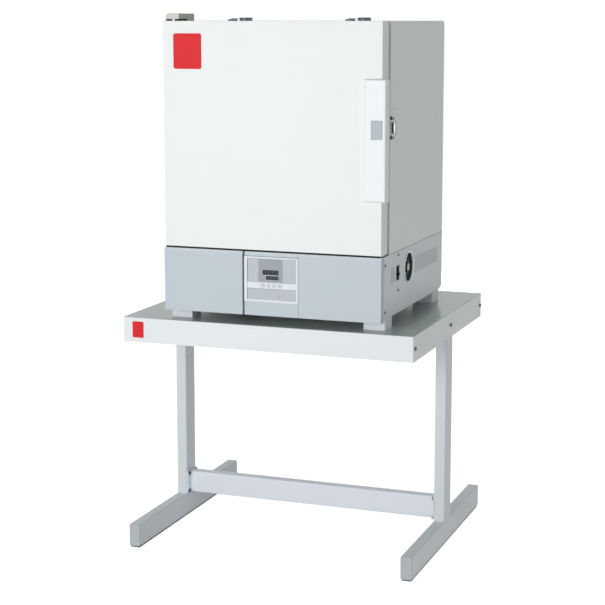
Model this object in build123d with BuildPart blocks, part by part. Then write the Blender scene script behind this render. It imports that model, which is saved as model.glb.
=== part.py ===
from build123d import *
import os

os.makedirs("parts", exist_ok=True)

# A laboratory drying oven on its steel stand, in millimetres, at real size.
# The origin is on the floor under the middle of the whole, X to the right, Y to the rear, Z up.

# Stand
stand_width = 780
stand_depth = 670
stand_height = 622
stand_center_y = -1
stand_sheet = 1.6
stand_edge = 2.5
stand_top_edge = 2
apron_height = 65
tube_width = 30
tube_height = 60
tube_wall = 2
tube_corner = 4
foot_length = 660
legs_back = 9
cap_thickness = 3
cap_plug = 12
plug_clearance = 0.2
glide_width = 25
glide_height = 3.5
rail_width = 40
rail_height = 25
rail_inset = 90
crossbar_lift = 2
end_plate = 3
bolt_radius = 3
bolt_length = 9
bolt_head_radius = 5
bolt_head_height = 3
bolt_socket_radius = 2
bolt_socket_depth = 1.2
bolt_clearance = 0.2
bolt_spacing = 51
bolt_margin = 7.5
apron_screw_front = 5
apron_screw_rear = 23
stand_plate_width = 31
stand_plate_height = 42
stand_plate_inset = 41.5
stand_plate_drop = 32

# Oven on the stand
oven_x = 16
door_set_back = 10
oven_width = 580
oven_foot_width = 57
oven_foot_height = 29
oven_foot_inset = 2
oven_foot_front = 35
oven_foot_rear = 24
oven_foot_corner = 3

# Base under the chamber
base_height = 156.5
base_panel = 1.6
base_corner_depth = 23
base_corner_height = 6
chassis_sheet = 1.5
chassis_flange = 15
wiring_hole_radius = 12
fascia_proud = 4.9
fascia_back = 16.8
fascia_drop = 3.7
fascia_inset = 0.7
fascia_wall = 2
fascia_bevel_depth = 4.9
fascia_bevel_height = 5.3
seam = 0.4
sheet_edge = 0.7

# Control panel
control_left = -69.7
control_width = 143.7
control_groove = 5.2
bezel_height = 114
bezel_top_margin = 11
bezel_left = 7.7
bezel_right = 5.2
bezel_rail = 4.4
bezel_proud = 1.5
bezel_recess = 3
bezel_corner = 2
bezel_shell = 1.4
panel_plate = 2
panel_clearance = 0.3
strip_height = 15.5
strip_drop = 60.2
strip_proud = 0.8
display_right = 22.3
upper_display_width = 43.6
upper_display_height = 12.9
upper_display_drop = 28.1
lower_display_width = 34.7
lower_display_height = 10.5
lower_display_drop = 43
window_recess = 0.3
window_flange = 0.8
window_flange_thickness = 1
window_clearance = 0.1
key_names = ("left", "mid_left", "mid_right", "right")
key_pitch = 15.2
key_center_x = 2.4
key_radius = 5.3
key_proud = 0.8
key_travel = 0.8
key_clearance = 0.3
key_flange = 1.3
key_flange_thickness = 1
key_stem_radius = 2
board_thickness = 1.6
board_gap = 5.4
board_margin = 8
standoff_radius = 3
relay_width = 45
relay_depth = 50
relay_height = 44
relay_x = -60
relay_setback = 150

# Intake dial, breaker and louvres on the sides of the base
dial_depth = 226
dial_rise = 103.3
dial_ring_radius = 40.5
dial_ring_proud = 1
dish_radius = 37.3
dish_wall = 1.5
dish_lip = 3.4
dish_floor_radius = 30.5
dish_recess = 9.5
dish_floor = 2
port_radius = 22.5
port_length = 18
port_width = 9
port_count = 3
disc_radius = 29.5
disc_thickness = 1.5
knob_radius = 14
knob_length = 6.3
knob_edge = 1.5
shaft_radius = 4
shaft_clearance = 0.05
retainer_radius = 7
retainer_thickness = 3
running_gap = 0.3
breaker_depth = 131.4
breaker_rise = 102
breaker_width = 27.5
breaker_height = 38
breaker_flange = 12
breaker_body_depth = 46
breaker_recess = 1
breaker_clearance = 0.3
toggle_slot_height = 24
toggle_slot_depth = 9
toggle_width = 9
toggle_play = 0.4
toggle_reach = 11
toggle_thickness = 6
toggle_pivot_depth = 5
toggle_pin_radius = 1.5
toggle_pin_length = 16
toggle_tilt = 20
side_plate_depth = 90.4
side_plate_width = 28
side_plate_thickness = 0.6
louvre_count = 10
louvre_pitch = 21.2
louvre_length = 13
louvre_proud = 3.4
louvre_height = 39
louvre_skin = 1.2
louvre_start = 281
louvre_neck = 0.6
duct_width = 44
duct_x = 160
duct_half = 30
duct_wall = 1.2
gland_x = -210
gland_rise = 60
gland_radius = 14
gland_bore = 5
gland_flange = 4
gland_nut = 12
gland_nut_length = 16
gland_thread_radius = 10
gland_thread_length = 14

# Casing and chamber
casing_height = 570.5
casing_depth = 485.8
skin = 1.2
casing_corner = 13
frame_plate = 1.5
top_flange = 40
chamber_width = 450
chamber_height = 450
chamber_depth = 450
liner = 1.2
heater_space = 30
wool_gap = 3
wool_clearance = 0.3
floor_hole_radius = 4
floor_hole_pitch = 36
floor_hole_count = 11
floor_plate = 1.2
floor_clearance = 0.3
heater_radius = 4
heater_runs = 6
heater_pitch = 60
heater_setback = 40
heater_tail = 14
heater_clearance = 0.2
ledge_width = 12
ledge_lip = 8
ledge_sheet = 1.2
ledge_setback = 15
shelf_pitch = 150
shelf_bar_radius = 3
shelf_wire_radius = 1.5
shelf_wire_count = 15
shelf_clearance = 6
probe_radius = 3
probe_tip = 2.7
probe_reach = 80
probe_x = 60
probe_drop = 80
probe_tail = 16
exhaust_x = 162.5
exhaust_depth = 241
exhaust_bore = 13.5
exhaust_wall = 1.5
exhaust_clearance = 0.2
exhaust_collar_radius = 17
exhaust_collar_height = 3.6
pivot_offset = 37.5
pivot_radius = 13
pivot_height = 4.6
pivot_edge = 3.4
lid_pin_radius = 2
lid_pin_height = 2.2
lid_radius = 17
lid_height = 4.6
lid_edge = 3.2
lid_arm_width = 10
lid_arm_thickness = 1.4

# Door
door_width = 575.4
door_thickness = 48.5
door_gap = 3.2
door_skin = 1.2
door_corner = 10
door_edge = 1.5
seal_gap = 9.2
door_flange = 24
inner_plate = 1
inner_plate_margin = 12
inner_plug_inset = 6
inner_plug_height = 5
inner_plug_corner = 12
gasket_inset = 14
gasket_width = 14
gasket_clearance = 0.3
gasket_edge = 3
door_plate_width = 76
door_plate_height = 88
door_plate_x = -222
door_plate_drop = 75
plate_corner = 6
plate_thickness = 1

# Hinges
hinge_inset = 10.7
hinge_setback = 14
hinge_pin_radius = 4
hinge_pin_length = 22
bush_radius = 6.5
bush_length = 24
bush_collar_radius = 8.5
bush_collar_height = 4.1
bush_fit = 0.1
hinge_lift = 5
hinge_arm_thickness = 5
hinge_arm_clearance = 0.5
hinge_cover_width = 36.6
hinge_cover_left = 4.5
hinge_cover_front = 5.9
hinge_cover_rear = 98.9
hinge_cover_height = 18
hinge_cover_lift = 4.5
hinge_cover_wall = 1.2
hinge_cover_edge = 4.5
hinge_cover_round = 9
hinge_cover_rim = 1.1
hinge_plate_thickness = 2
hinge_plate_left = 9
hinge_plate_right = 15
hinge_plate_front = 3
hinge_plate_rear = 57
hinge_play = 0.4

# Handle and latch
handle_width = 56.7
handle_height = 295.2
handle_drop = 138.5
handle_overhang = 13.3
handle_proud = 14
handle_return = 16.3
handle_wall = 2.5
handle_edge = 4
latch_drop = 259.5
button_width = 28.4
button_height = 45
button_inset = 8.6
button_proud = 1
button_clearance = 0.4
button_travel = 2.4
button_flange = 1.6
button_flange_thickness = 1.4
button_edge = 1
button_boss = 4
latch_gap = 0.3
latch_height = 22
tail_length = 30
tail_thickness = 2.5
tail_overlap = 4.5
arm_thickness = 2.5
latch_pivot_inset = 6.5
latch_pivot_depth = 6
latch_barrel_radius = 3.3
latch_pin_radius = 2
latch_pin_length = 6
latch_boss_depth = 10
latch_boss_height = 8
hook_start = 77.5
hook_end = 88
keeper_height = 63
keeper_plate = 1.6
keeper_front = 50
keeper_rear = 101
keeper_bar_height = 31
keeper_bar_start = 68
keeper_bar_end = 76
keeper_bar_proud = 1.6
keeper_lip_start = 90
keeper_lip_end = 92.5
keeper_lip_proud = 4.4
keeper_screw_spacing = 47.6
keeper_screw_depth = 75.5

# Small screws that hold the panels
screw_radius = 2
screw_length = 4
screw_head_radius = 3.4
screw_head_height = 1.4
screw_slot_width = 0.9
screw_slot_depth = 0.7
screw_clearance = 0.15

# Places worked out from the sizes above; depths count back from the door's front face
door_front_y = stand_center_y - stand_depth / 2 + door_set_back
legs_y = stand_center_y + legs_back
leg_x = stand_width / 2 - stand_sheet - tube_width / 2
foot_top = glide_height + tube_height
arm_top = stand_height - stand_sheet
arm_bottom = arm_top - tube_height
half_width = oven_width / 2
half_door = door_width / 2
base_z = stand_height + oven_foot_height
deck_z = base_z + base_height
oven_top = deck_z + casing_height
casing_front = door_thickness + seal_gap
casing_rear = casing_front + casing_depth
door_bottom = deck_z + door_gap
door_height = oven_top - door_bottom
door_center_z = door_bottom + door_height / 2
chamber_floor = door_center_z - chamber_height / 2
chamber_top = door_center_z + chamber_height / 2
liner_bottom = chamber_floor - heater_space
chamber_front = casing_front + frame_plate
chamber_rear = chamber_front + chamber_depth
hinge_x = hinge_inset - half_door
dial_z = base_z + dial_rise
breaker_z = base_z + breaker_rise
latch_z = oven_top - latch_drop
screw_span = 3 * screw_length

middle = (Align.CENTER, Align.CENTER, Align.CENTER)
rising = (Align.CENTER, Align.CENTER, Align.MIN)
sinking = (Align.CENTER, Align.CENTER, Align.MAX)
sides = (("left", -1), ("right", 1))
oven_frame = Plane(origin=(oven_x, door_front_y, 0))


def level(height):
    """A horizontal plane over the middle of the door's front."""
    return Plane(origin=(oven_x, door_front_y, height))


def front(depth):
    """An upright plane that faces the front, with local X to the right and local Y up."""
    return Plane(origin=(oven_x, door_front_y + depth, 0), x_dir=(1, 0, 0), z_dir=(0, -1, 0))


def side(x):
    """An upright plane that faces the right, with local X to the rear and local Y up."""
    return Plane(origin=(oven_x + x, door_front_y, 0), x_dir=(0, 1, 0), z_dir=(1, 0, 0))


def block(x_span, depth_span, height_span, mode=Mode.ADD):
    """A box between two values of x, of depth and of height, in the oven's frame."""
    spans = (x_span, depth_span, height_span)
    sizes = [span[1] - span[0] for span in spans]
    with Locations(tuple((span[0] + span[1]) / 2 for span in spans)):
        Box(*sizes, align=middle, mode=mode)


def facing(direction, x, depth, height):
    """A place whose local Z points right, left, front or rear."""
    turns = {"right": (0, 90, 0), "left": (0, -90, 0), "front": (90, 0, 0), "rear": (-90, 0, 0)}
    return Location((x, depth, height), turns[direction])


def drill(places, radius, length):
    """Holes through what lies up to half their length on either side of the places."""
    with Locations(*places):
        Cylinder(radius, length, align=middle, mode=Mode.SUBTRACT)


# Places of the small screws, by the panel that they hold
side_screws = ((25, 134.7), (25, 18.4), (134.5, 147.3), (134.5, 57.7))
rear_screw_x = half_width - 15
rear_screw_heights = (base_z + 19, deck_z - 7, deck_z + 42, door_center_z, oven_top - top_flange - 12)
base_screws = {
    "left": [facing("left", -half_width, depth, base_z + rise) for depth, rise in side_screws],
    "right": [facing("right", half_width, depth, base_z + rise) for depth, rise in side_screws],
}
rear_screws = [
    facing("rear", x, casing_rear, z) for x in (-rear_screw_x, rear_screw_x) for z in rear_screw_heights
]
keeper_screws = [
    facing("right", half_width + keeper_plate, keeper_screw_depth, latch_z + rise)
    for rise in (-keeper_screw_spacing / 2, keeper_screw_spacing / 2)
]
screw_hole = screw_radius + screw_clearance

# Stand top: one sheet folded down into an apron on all four sides
apron_screw_y = (
    legs_y - stand_depth / 2 + apron_screw_front,
    legs_y,
    legs_y + stand_depth / 2 - apron_screw_rear,
)
apron_screws = [
    Location((sign * stand_width / 2, y, stand_height - apron_height / 2), (0, sign * 90, 0))
    for sign in (-1, 1)
    for y in apron_screw_y
]

with BuildPart() as stand_top:
    with BuildSketch(Plane.XY.offset(stand_height - apron_height)):
        with Locations((0, stand_center_y)):
            RectangleRounded(stand_width, stand_depth, stand_edge)
    extrude(amount=apron_height)
    fillet(stand_top.faces().sort_by(Axis.Z)[-1].edges(), stand_top_edge)
    with BuildSketch(Plane.XY.offset(stand_height - apron_height)):
        with Locations((0, stand_center_y)):
            Rectangle(stand_width - 2 * stand_sheet, stand_depth - 2 * stand_sheet)
    extrude(amount=apron_height - stand_sheet, mode=Mode.SUBTRACT)
    drill(apron_screws, bolt_radius + bolt_clearance, 4 * stand_sheet)

stand_top.part.label = "stand_top"
export_step(stand_top.part, "parts/stand_top.step")

# Rails under the top: a tube along each side and two hat rails across
arm_length = stand_depth - 2 * stand_sheet - 2 * plug_clearance
rail_span = 2 * leg_x - tube_width
rail_ys = (stand_center_y - stand_depth / 2 + rail_inset, stand_center_y + stand_depth / 2 - rail_inset)

with BuildPart() as stand_rails:
    with BuildSketch(Plane.XZ.offset(-stand_center_y - arm_length / 2)):
        with Locations((-leg_x, arm_bottom + tube_height / 2), (leg_x, arm_bottom + tube_height / 2)):
            Rectangle(tube_width, tube_height)
            Rectangle(tube_width - 2 * tube_wall, tube_height - 2 * tube_wall, mode=Mode.SUBTRACT)
    extrude(amount=arm_length)
    with Locations(*[(0, y, arm_top) for y in rail_ys]):
        Box(rail_span, rail_width, rail_height, align=sinking)
    with Locations(*[(0, y, arm_top - stand_sheet) for y in rail_ys]):
        Box(rail_span, rail_width - 2 * stand_sheet, rail_height, align=sinking, mode=Mode.SUBTRACT)
    drill(apron_screws, bolt_radius + bolt_clearance, 2 * bolt_length + stand_sheet)

stand_rails.part.label = "stand_rails"
export_step(stand_rails.part, "parts/stand_rails.step")

# Posts
crossbar_z = foot_top + crossbar_lift + tube_height / 2
crossbar_bolts = [
    Location((sign * (rail_span / 2 - end_plate), legs_y + across, crossbar_z + rise), (0, -sign * 90, 0))
    for sign in (-1, 1)
    for across in (bolt_margin - tube_height / 2, tube_height / 2 - bolt_margin)
    for rise in (-bolt_spacing / 2, bolt_spacing / 2)
]

for name, sign in sides:
    with BuildPart() as stand_post:
        with BuildSketch(Plane.XY.offset(foot_top)):
            with Locations((sign * leg_x, legs_y)):
                RectangleRounded(tube_width, tube_height, tube_corner)
                Rectangle(tube_width - 2 * tube_wall, tube_height - 2 * tube_wall, mode=Mode.SUBTRACT)
        extrude(amount=arm_bottom - foot_top)
        drill(crossbar_bolts, bolt_radius + bolt_clearance, 2 * bolt_length)

    stand_post.part.label = f"stand_post_{name}"
    export_step(stand_post.part, f"parts/stand_post_{name}.step")

# Crossbar between the posts, with a plate at each end that is bolted to the post
with BuildPart() as stand_crossbar:
    with BuildSketch(Plane.YZ.offset(-rail_span / 2)):
        with Locations((legs_y, crossbar_z)):
            RectangleRounded(tube_width, tube_height, tube_corner)
            Rectangle(tube_width - 2 * tube_wall, tube_height - 2 * tube_wall, mode=Mode.SUBTRACT)
    extrude(amount=rail_span)
    for sign in (-1, 1):
        with BuildSketch(Plane.YZ.offset(sign * rail_span / 2)):
            with Locations((legs_y, crossbar_z)):
                RectangleRounded(tube_height, tube_height, tube_corner)
        extrude(amount=-sign * end_plate)
    drill(crossbar_bolts, bolt_radius + bolt_clearance, 3 * end_plate)

stand_crossbar.part.label = "stand_crossbar"
export_step(stand_crossbar.part, "parts/stand_crossbar.step")

# Foot tubes, open at both ends
foot_z = glide_height + tube_height / 2

for name, sign in sides:
    with BuildPart() as stand_foot:
        with BuildSketch(Plane.XZ.offset(-legs_y - foot_length / 2)):
            with Locations((sign * leg_x, foot_z)):
                RectangleRounded(tube_width, tube_height, tube_corner)
                Rectangle(tube_width - 2 * tube_wall, tube_height - 2 * tube_wall, mode=Mode.SUBTRACT)
        extrude(amount=foot_length)

    stand_foot.part.label = f"stand_foot_{name}"
    export_step(stand_foot.part, f"parts/stand_foot_{name}.step")

# Plastic caps that close the foot tubes
plug_width = tube_width - 2 * tube_wall - 2 * plug_clearance
plug_height = tube_height - 2 * tube_wall - 2 * plug_clearance

with BuildPart() as stand_end_caps:
    for sign in (-1, 1):
        end_y = legs_y + sign * foot_length / 2
        with BuildSketch(Plane.XZ.offset(-end_y)):
            with Locations((-leg_x, foot_z), (leg_x, foot_z)):
                RectangleRounded(tube_width, tube_height, tube_corner)
        extrude(amount=-sign * cap_thickness)
        plug_y = end_y - sign * cap_plug / 2
        with Locations((-leg_x, plug_y, foot_z), (leg_x, plug_y, foot_z)):
            Box(plug_width, cap_plug, plug_height)
    outer_edges = stand_end_caps.edges().group_by(Axis.Y)
    fillet(outer_edges[0] + outer_edges[-1], cap_thickness / 3)

stand_end_caps.part.label = "stand_end_caps"
export_step(stand_end_caps.part, "parts/stand_end_caps.step")

# Rubber glides along the underside of the foot tubes
with BuildPart() as stand_glides:
    with Locations((-leg_x, legs_y, 0), (leg_x, legs_y, 0)):
        Box(glide_width, foot_length, glide_height, align=rising)

stand_glides.part.label = "stand_glides"
export_step(stand_glides.part, "parts/stand_glides.step")

# Screws of the apron and bolts of the crossbar
with BuildPart() as stand_fasteners:
    with Locations(*apron_screws, *crossbar_bolts):
        Cylinder(bolt_head_radius, bolt_head_height, align=rising)
        Cylinder(bolt_radius, bolt_length, align=sinking)
    with Locations(*apron_screws, *crossbar_bolts):
        with Locations((0, 0, bolt_head_height)):
            Cylinder(bolt_socket_radius, bolt_socket_depth, align=sinking, mode=Mode.SUBTRACT)

stand_fasteners.part.label = "stand_fasteners"
export_step(stand_fasteners.part, "parts/stand_fasteners.step")

# Blank plates on the stand's apron and on the right side of the base
with BuildPart(oven_frame) as blank_plates:
    with BuildSketch(Plane.XZ.offset(-stand_center_y + stand_depth / 2)):
        with Locations((stand_plate_inset - stand_width / 2, stand_height - stand_plate_drop)):
            RectangleRounded(stand_plate_width, stand_plate_height, plate_corner / 2)
    extrude(amount=plate_thickness)
    with BuildSketch(side(half_width)):
        with Locations((side_plate_depth, breaker_z)):
            RectangleRounded(side_plate_width, breaker_height, side_plate_thickness)
    extrude(amount=side_plate_thickness)

blank_plates.part.label = "blank_plates"
export_step(blank_plates.part, "parts/blank_plates.step")

# Four plastic feet between the stand's top and the base
foot_x = half_width - oven_foot_inset - oven_foot_width / 2
foot_depths = (
    oven_foot_front + oven_foot_width / 2,
    casing_rear - oven_foot_rear - oven_foot_width / 2,
)

with BuildPart() as oven_feet:
    with BuildSketch(level(stand_height)):
        with Locations(*[(x, depth) for x in (-foot_x, foot_x) for depth in foot_depths]):
            RectangleRounded(oven_foot_width, oven_foot_width, oven_foot_corner)
    extrude(amount=oven_foot_height)

oven_feet.part.label = "oven_feet"
export_step(oven_feet.part, "parts/oven_feet.step")

# Chassis of the base: pan, front wall and deck, with flanges that the side panels are screwed to
chassis_half = half_width - base_panel
pan_end = casing_rear - base_corner_depth - chassis_sheet
deck_end = casing_rear - skin
duct_span = (duct_x, duct_x + duct_width)
duct_depths = (dial_depth - duct_half, dial_depth + duct_half)

with BuildPart(oven_frame) as base_chassis:
    block((-chassis_half, chassis_half), (fascia_back, pan_end), (base_z, base_z + chassis_sheet))
    block((-chassis_half, chassis_half), (fascia_back, fascia_back + chassis_sheet), (base_z, deck_z))
    block((-chassis_half, chassis_half), (fascia_back, deck_end), (deck_z - chassis_sheet, deck_z))
    for sign in (-1, 1):
        edge_xs = (sign * chassis_half, sign * (chassis_half - chassis_sheet))
        x_span = (min(edge_xs), max(edge_xs))
        block(x_span, (fascia_back, fascia_back + chassis_flange), (base_z, deck_z))
        block(x_span, (fascia_back, pan_end), (base_z, base_z + chassis_flange))
        block(x_span, (fascia_back, deck_end), (deck_z - chassis_flange, deck_z))
    block(
        (duct_span[0] - exhaust_clearance, duct_span[1] + exhaust_clearance),
        (duct_depths[0] - exhaust_clearance, duct_depths[1] + exhaust_clearance),
        (deck_z - 2 * chassis_sheet, deck_z + 1),
        mode=Mode.SUBTRACT,
    )
    drill([facing("front", 0, fascia_back, base_z + base_height / 2)], wiring_hole_radius, 4 * chassis_sheet)
    drill(base_screws["left"] + base_screws["right"], screw_hole, screw_span)

base_chassis.part.label = "base_chassis"
export_step(base_chassis.part, "parts/base_chassis.step")

# Side panels of the base, with louvres; the right one has openings for the breaker and the intake dish
louvre_z = (breaker_z - louvre_height / 2, breaker_z + louvre_height / 2)

for name, sign in sides:
    with BuildPart(oven_frame) as base_side:
        with BuildSketch(side(sign * half_width)):
            with BuildLine():
                Polyline(
                    (fascia_back, base_z),
                    (casing_rear - base_corner_depth, base_z),
                    (casing_rear, base_z + base_corner_height),
                    (casing_rear, deck_z),
                    (fascia_back, deck_z),
                    close=True,
                )
            make_face()
        extrude(amount=-sign * base_panel)
        outer_face = base_side.faces().sort_by(Axis.X)[-1 if sign > 0 else 0]
        fillet(outer_face.edges(), sheet_edge)
        for index in range(louvre_count):
            start = louvre_start + index * louvre_pitch
            end = start + louvre_length
            with BuildSketch(level(louvre_z[0])):
                with BuildLine():
                    Polyline(
                        (sign * (half_width - louvre_skin), start),
                        (sign * half_width, start),
                        (sign * (half_width + louvre_proud), end),
                        (sign * (half_width - louvre_skin), end),
                        close=True,
                    )
                make_face()
            extrude(amount=louvre_height)
            with BuildSketch(level(louvre_z[0] + louvre_skin)):
                with BuildLine():
                    Polyline(
                        (sign * (half_width - 2 * base_panel), start + louvre_neck),
                        (sign * (half_width - louvre_skin), start + louvre_neck),
                        (sign * (half_width + louvre_proud - louvre_skin), end),
                        (sign * (half_width + louvre_proud - louvre_skin), end + louvre_neck),
                        (sign * (half_width - 2 * base_panel), end + louvre_neck),
                        close=True,
                    )
                make_face()
            extrude(amount=louvre_height - 2 * louvre_skin, mode=Mode.SUBTRACT)
        drill(base_screws[name], screw_hole, screw_span)
        if name == "right":
            drill(
                [facing("right", half_width, dial_depth, dial_z)],
                dish_radius + dish_wall + panel_clearance,
                4 * base_panel,
            )
            block(
                (half_width - 2 * base_panel, half_width + 1),
                (breaker_depth - breaker_width / 2, breaker_depth + breaker_width / 2),
                (breaker_z - breaker_height / 2, breaker_z + breaker_height / 2),
                mode=Mode.SUBTRACT,
            )

    base_side.part.label = f"base_side_{name}"
    export_step(base_side.part, f"parts/base_side_{name}.step")

# Front panels of the base: two plain ones and a middle one that holds the controls
control_right = control_left + control_width
fascia_half = half_width - fascia_inset
fascia_bottom = base_z - fascia_drop
fascia_spans = {
    "left": (-fascia_half, control_left - control_groove),
    "center": (control_left, control_right),
    "right": (control_right + seam, fascia_half),
}
bezel_top = deck_z - bezel_top_margin
bezel_bottom = bezel_top - bezel_height
well_span = (control_left + bezel_left, control_right - bezel_right)
well_heights = (bezel_bottom + bezel_rail, bezel_top - bezel_rail)
shell_span = (well_span[0] - bezel_shell, well_span[1] + bezel_shell)
shell_heights = (well_heights[0] - bezel_shell, well_heights[1] + bezel_shell)

for name, (x_start, x_end) in fascia_spans.items():
    with BuildPart(oven_frame) as lower_front:
        block((x_start, x_end), (-fascia_proud, fascia_back), (fascia_bottom, deck_z))
        top_edge = lower_front.edges().filter_by(Axis.X).group_by(Axis.Y)[0].sort_by(Axis.Z)[-1]
        front_face = lower_front.faces().sort_by(Axis.Y)[0]
        chamfer(top_edge, fascia_bevel_height, fascia_bevel_depth, reference=front_face)
        fillet(lower_front.faces().sort_by(Axis.Y)[0].edges().filter_by(Axis.Z), sheet_edge)
        block(
            (x_start + fascia_wall, x_end - fascia_wall),
            (fascia_wall - fascia_proud, fascia_back),
            (fascia_bottom + fascia_wall, deck_z - fascia_bevel_height - fascia_wall),
            mode=Mode.SUBTRACT,
        )
        if name == "center":
            block(
                (shell_span[0] - panel_clearance, shell_span[1] + panel_clearance),
                (-2 * fascia_proud, fascia_back),
                (shell_heights[0] - panel_clearance, shell_heights[1] + panel_clearance),
                mode=Mode.SUBTRACT,
            )

    lower_front.part.label = f"lower_front_{name}"
    export_step(lower_front.part, f"parts/lower_front_{name}.step")

# Bezel of the controls: a raised frame round a sunk plate with two windows and a strip for the keys
bezel_face = -fascia_proud - bezel_proud
plate_face = bezel_face + bezel_recess
plate_back = plate_face + panel_plate
strip_face = plate_face - strip_proud
windows = (
    (upper_display_width, upper_display_height, bezel_top - bezel_rail - upper_display_drop),
    (lower_display_width, lower_display_height, bezel_top - bezel_rail - lower_display_drop),
)
key_xs = [key_center_x + (index - 1.5) * key_pitch for index in range(len(key_names))]
strip_heights = (bezel_top - bezel_rail - strip_drop - strip_height, bezel_top - bezel_rail - strip_drop)
key_z = (strip_heights[0] + strip_heights[1]) / 2

with BuildPart(oven_frame) as control_bezel:
    with BuildSketch(front(-fascia_proud)):
        with Locations(((control_left + control_right) / 2, (bezel_top + bezel_bottom) / 2)):
            RectangleRounded(control_width, bezel_height, bezel_corner)
    extrude(amount=bezel_proud)
    fillet(control_bezel.faces().sort_by(Axis.Y)[0].edges(), bezel_proud / 2)
    block(shell_span, (-fascia_proud, plate_back), shell_heights)
    block(well_span, (2 * bezel_face, plate_face), well_heights, mode=Mode.SUBTRACT)
    block(well_span, (strip_face, plate_face), strip_heights)
    for width, height, top in windows:
        block(
            (display_right - width - window_clearance, display_right + window_clearance),
            (plate_face - 1, plate_back + 1),
            (top - height - window_clearance, top + window_clearance),
            mode=Mode.SUBTRACT,
        )
    drill([facing("front", x, plate_face, key_z) for x in key_xs], key_radius + key_clearance, 4 * panel_plate)

control_bezel.part.label = "control_bezel"
export_step(control_bezel.part, "parts/control_bezel.step")

# Windows of the two displays, held from behind by their flanges
with BuildPart(oven_frame) as display_windows:
    for width, height, top in windows:
        block(
            (display_right - width, display_right),
            (plate_face + window_recess, plate_back),
            (top - height, top),
        )
        block(
            (display_right - width - window_flange, display_right + window_flange),
            (plate_back, plate_back + window_flange_thickness),
            (top - height - window_flange, top + window_flange),
        )

display_windows.part.label = "display_windows"
export_step(display_windows.part, "parts/display_windows.step")

# Four round keys that press against the board
board_face = plate_back + board_gap

for name, x in zip(key_names, key_xs):
    with BuildPart(oven_frame) as key:
        with Locations(facing("front", x, plate_back + running_gap, key_z)):
            Cylinder(key_radius, plate_back + running_gap - strip_face + key_proud, align=rising)
            Cylinder(key_radius + key_flange, key_flange_thickness, align=sinking)
            Cylinder(key_stem_radius, board_gap - key_travel - 2 * running_gap, align=sinking)
        fillet(key.faces().sort_by(Axis.Y)[0].edges(), key_proud / 2)

    key.part.label = f"key_{name}"
    export_step(key.part, f"parts/key_{name}.step")

# Control electronics: the board on its standoffs, and the heater's relay on the pan
board_span = (well_span[0] + board_margin, well_span[1] - board_margin)
board_heights = (well_heights[0] + board_margin, well_heights[1] - board_margin)
standoff_places = [
    facing("rear", x, plate_back, z)
    for x in (board_span[0] + standoff_radius, board_span[1] - standoff_radius)
    for z in (board_heights[0] + standoff_radius, board_heights[1] - standoff_radius)
]

with BuildPart(oven_frame) as control_electronics:
    block(board_span, (board_face, board_face + board_thickness), board_heights)
    with Locations(*standoff_places):
        Cylinder(standoff_radius, board_gap, align=rising)
    block(
        (relay_x - relay_width / 2, relay_x + relay_width / 2),
        (relay_setback - relay_depth / 2, relay_setback + relay_depth / 2),
        (base_z + chassis_sheet, base_z + chassis_sheet + relay_height),
    )

control_electronics.part.label = "control_electronics"
export_step(control_electronics.part, "parts/control_electronics.step")

# Intake dish in the right side, with three ports in its floor
dish_front = half_width - dish_recess
dish_back = dish_front - dish_floor

with BuildPart(oven_frame) as intake_dish:
    with Locations(facing("right", half_width, dial_depth, dial_z)):
        Cylinder(dial_ring_radius, dial_ring_proud, align=rising)
    fillet(intake_dish.edges().group_by(Axis.X)[-1], dial_ring_proud / 2)
    with Locations(facing("right", half_width, dial_depth, dial_z)):
        Cylinder(dish_radius + dish_wall, dish_recess + dish_floor, align=sinking)
    with Locations(facing("right", half_width - dish_lip, dial_depth, dial_z)):
        Cylinder(dish_radius, 2 * dish_lip, align=rising, mode=Mode.SUBTRACT)
        Cone(dish_floor_radius, dish_radius, dish_recess - dish_lip, align=sinking, mode=Mode.SUBTRACT)
    drill([facing("right", dish_front, dial_depth, dial_z)], shaft_radius + shaft_clearance, 4 * dish_floor)
    for index in range(port_count):
        with BuildSketch(side(dish_back)):
            with Locations((dial_depth, dial_z)):
                with PolarLocations(port_radius, 1, index * 360 / port_count):
                    SlotCenterToCenter(port_length, port_width, rotation=90)
        extrude(amount=dish_floor, mode=Mode.SUBTRACT)

intake_dish.part.label = "intake_dish"
export_step(intake_dish.part, "parts/intake_dish.step")

# Intake dial: a disc that covers the ports, its knob, its shaft and a retaining collar
disc_back = dish_front + running_gap

with BuildPart(oven_frame) as intake_dial:
    with Locations(facing("right", disc_back, dial_depth, dial_z)):
        Cylinder(disc_radius, disc_thickness, align=rising)
    for index in range(port_count):
        with BuildSketch(side(disc_back)):
            with Locations((dial_depth, dial_z)):
                with PolarLocations(port_radius, 1, (index + 0.5) * 360 / port_count):
                    SlotCenterToCenter(port_length, port_width, rotation=90)
        extrude(amount=disc_thickness, mode=Mode.SUBTRACT)
    with Locations(facing("right", disc_back, dial_depth, dial_z)):
        Cylinder(knob_radius, disc_thickness + knob_length, align=rising)
        Cylinder(shaft_radius, dish_floor + 2 * running_gap, align=sinking)
    fillet(intake_dial.edges().group_by(Axis.X)[-1], knob_edge)
    with Locations(facing("right", dish_back - running_gap, dial_depth, dial_z)):
        Cylinder(retainer_radius, retainer_thickness, align=sinking)

intake_dial.part.label = "intake_dial"
export_step(intake_dial.part, "parts/intake_dial.step")

# Intake duct from the dish up into the heater space
duct_heights = (dial_z - duct_half, dial_z + duct_half)

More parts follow.
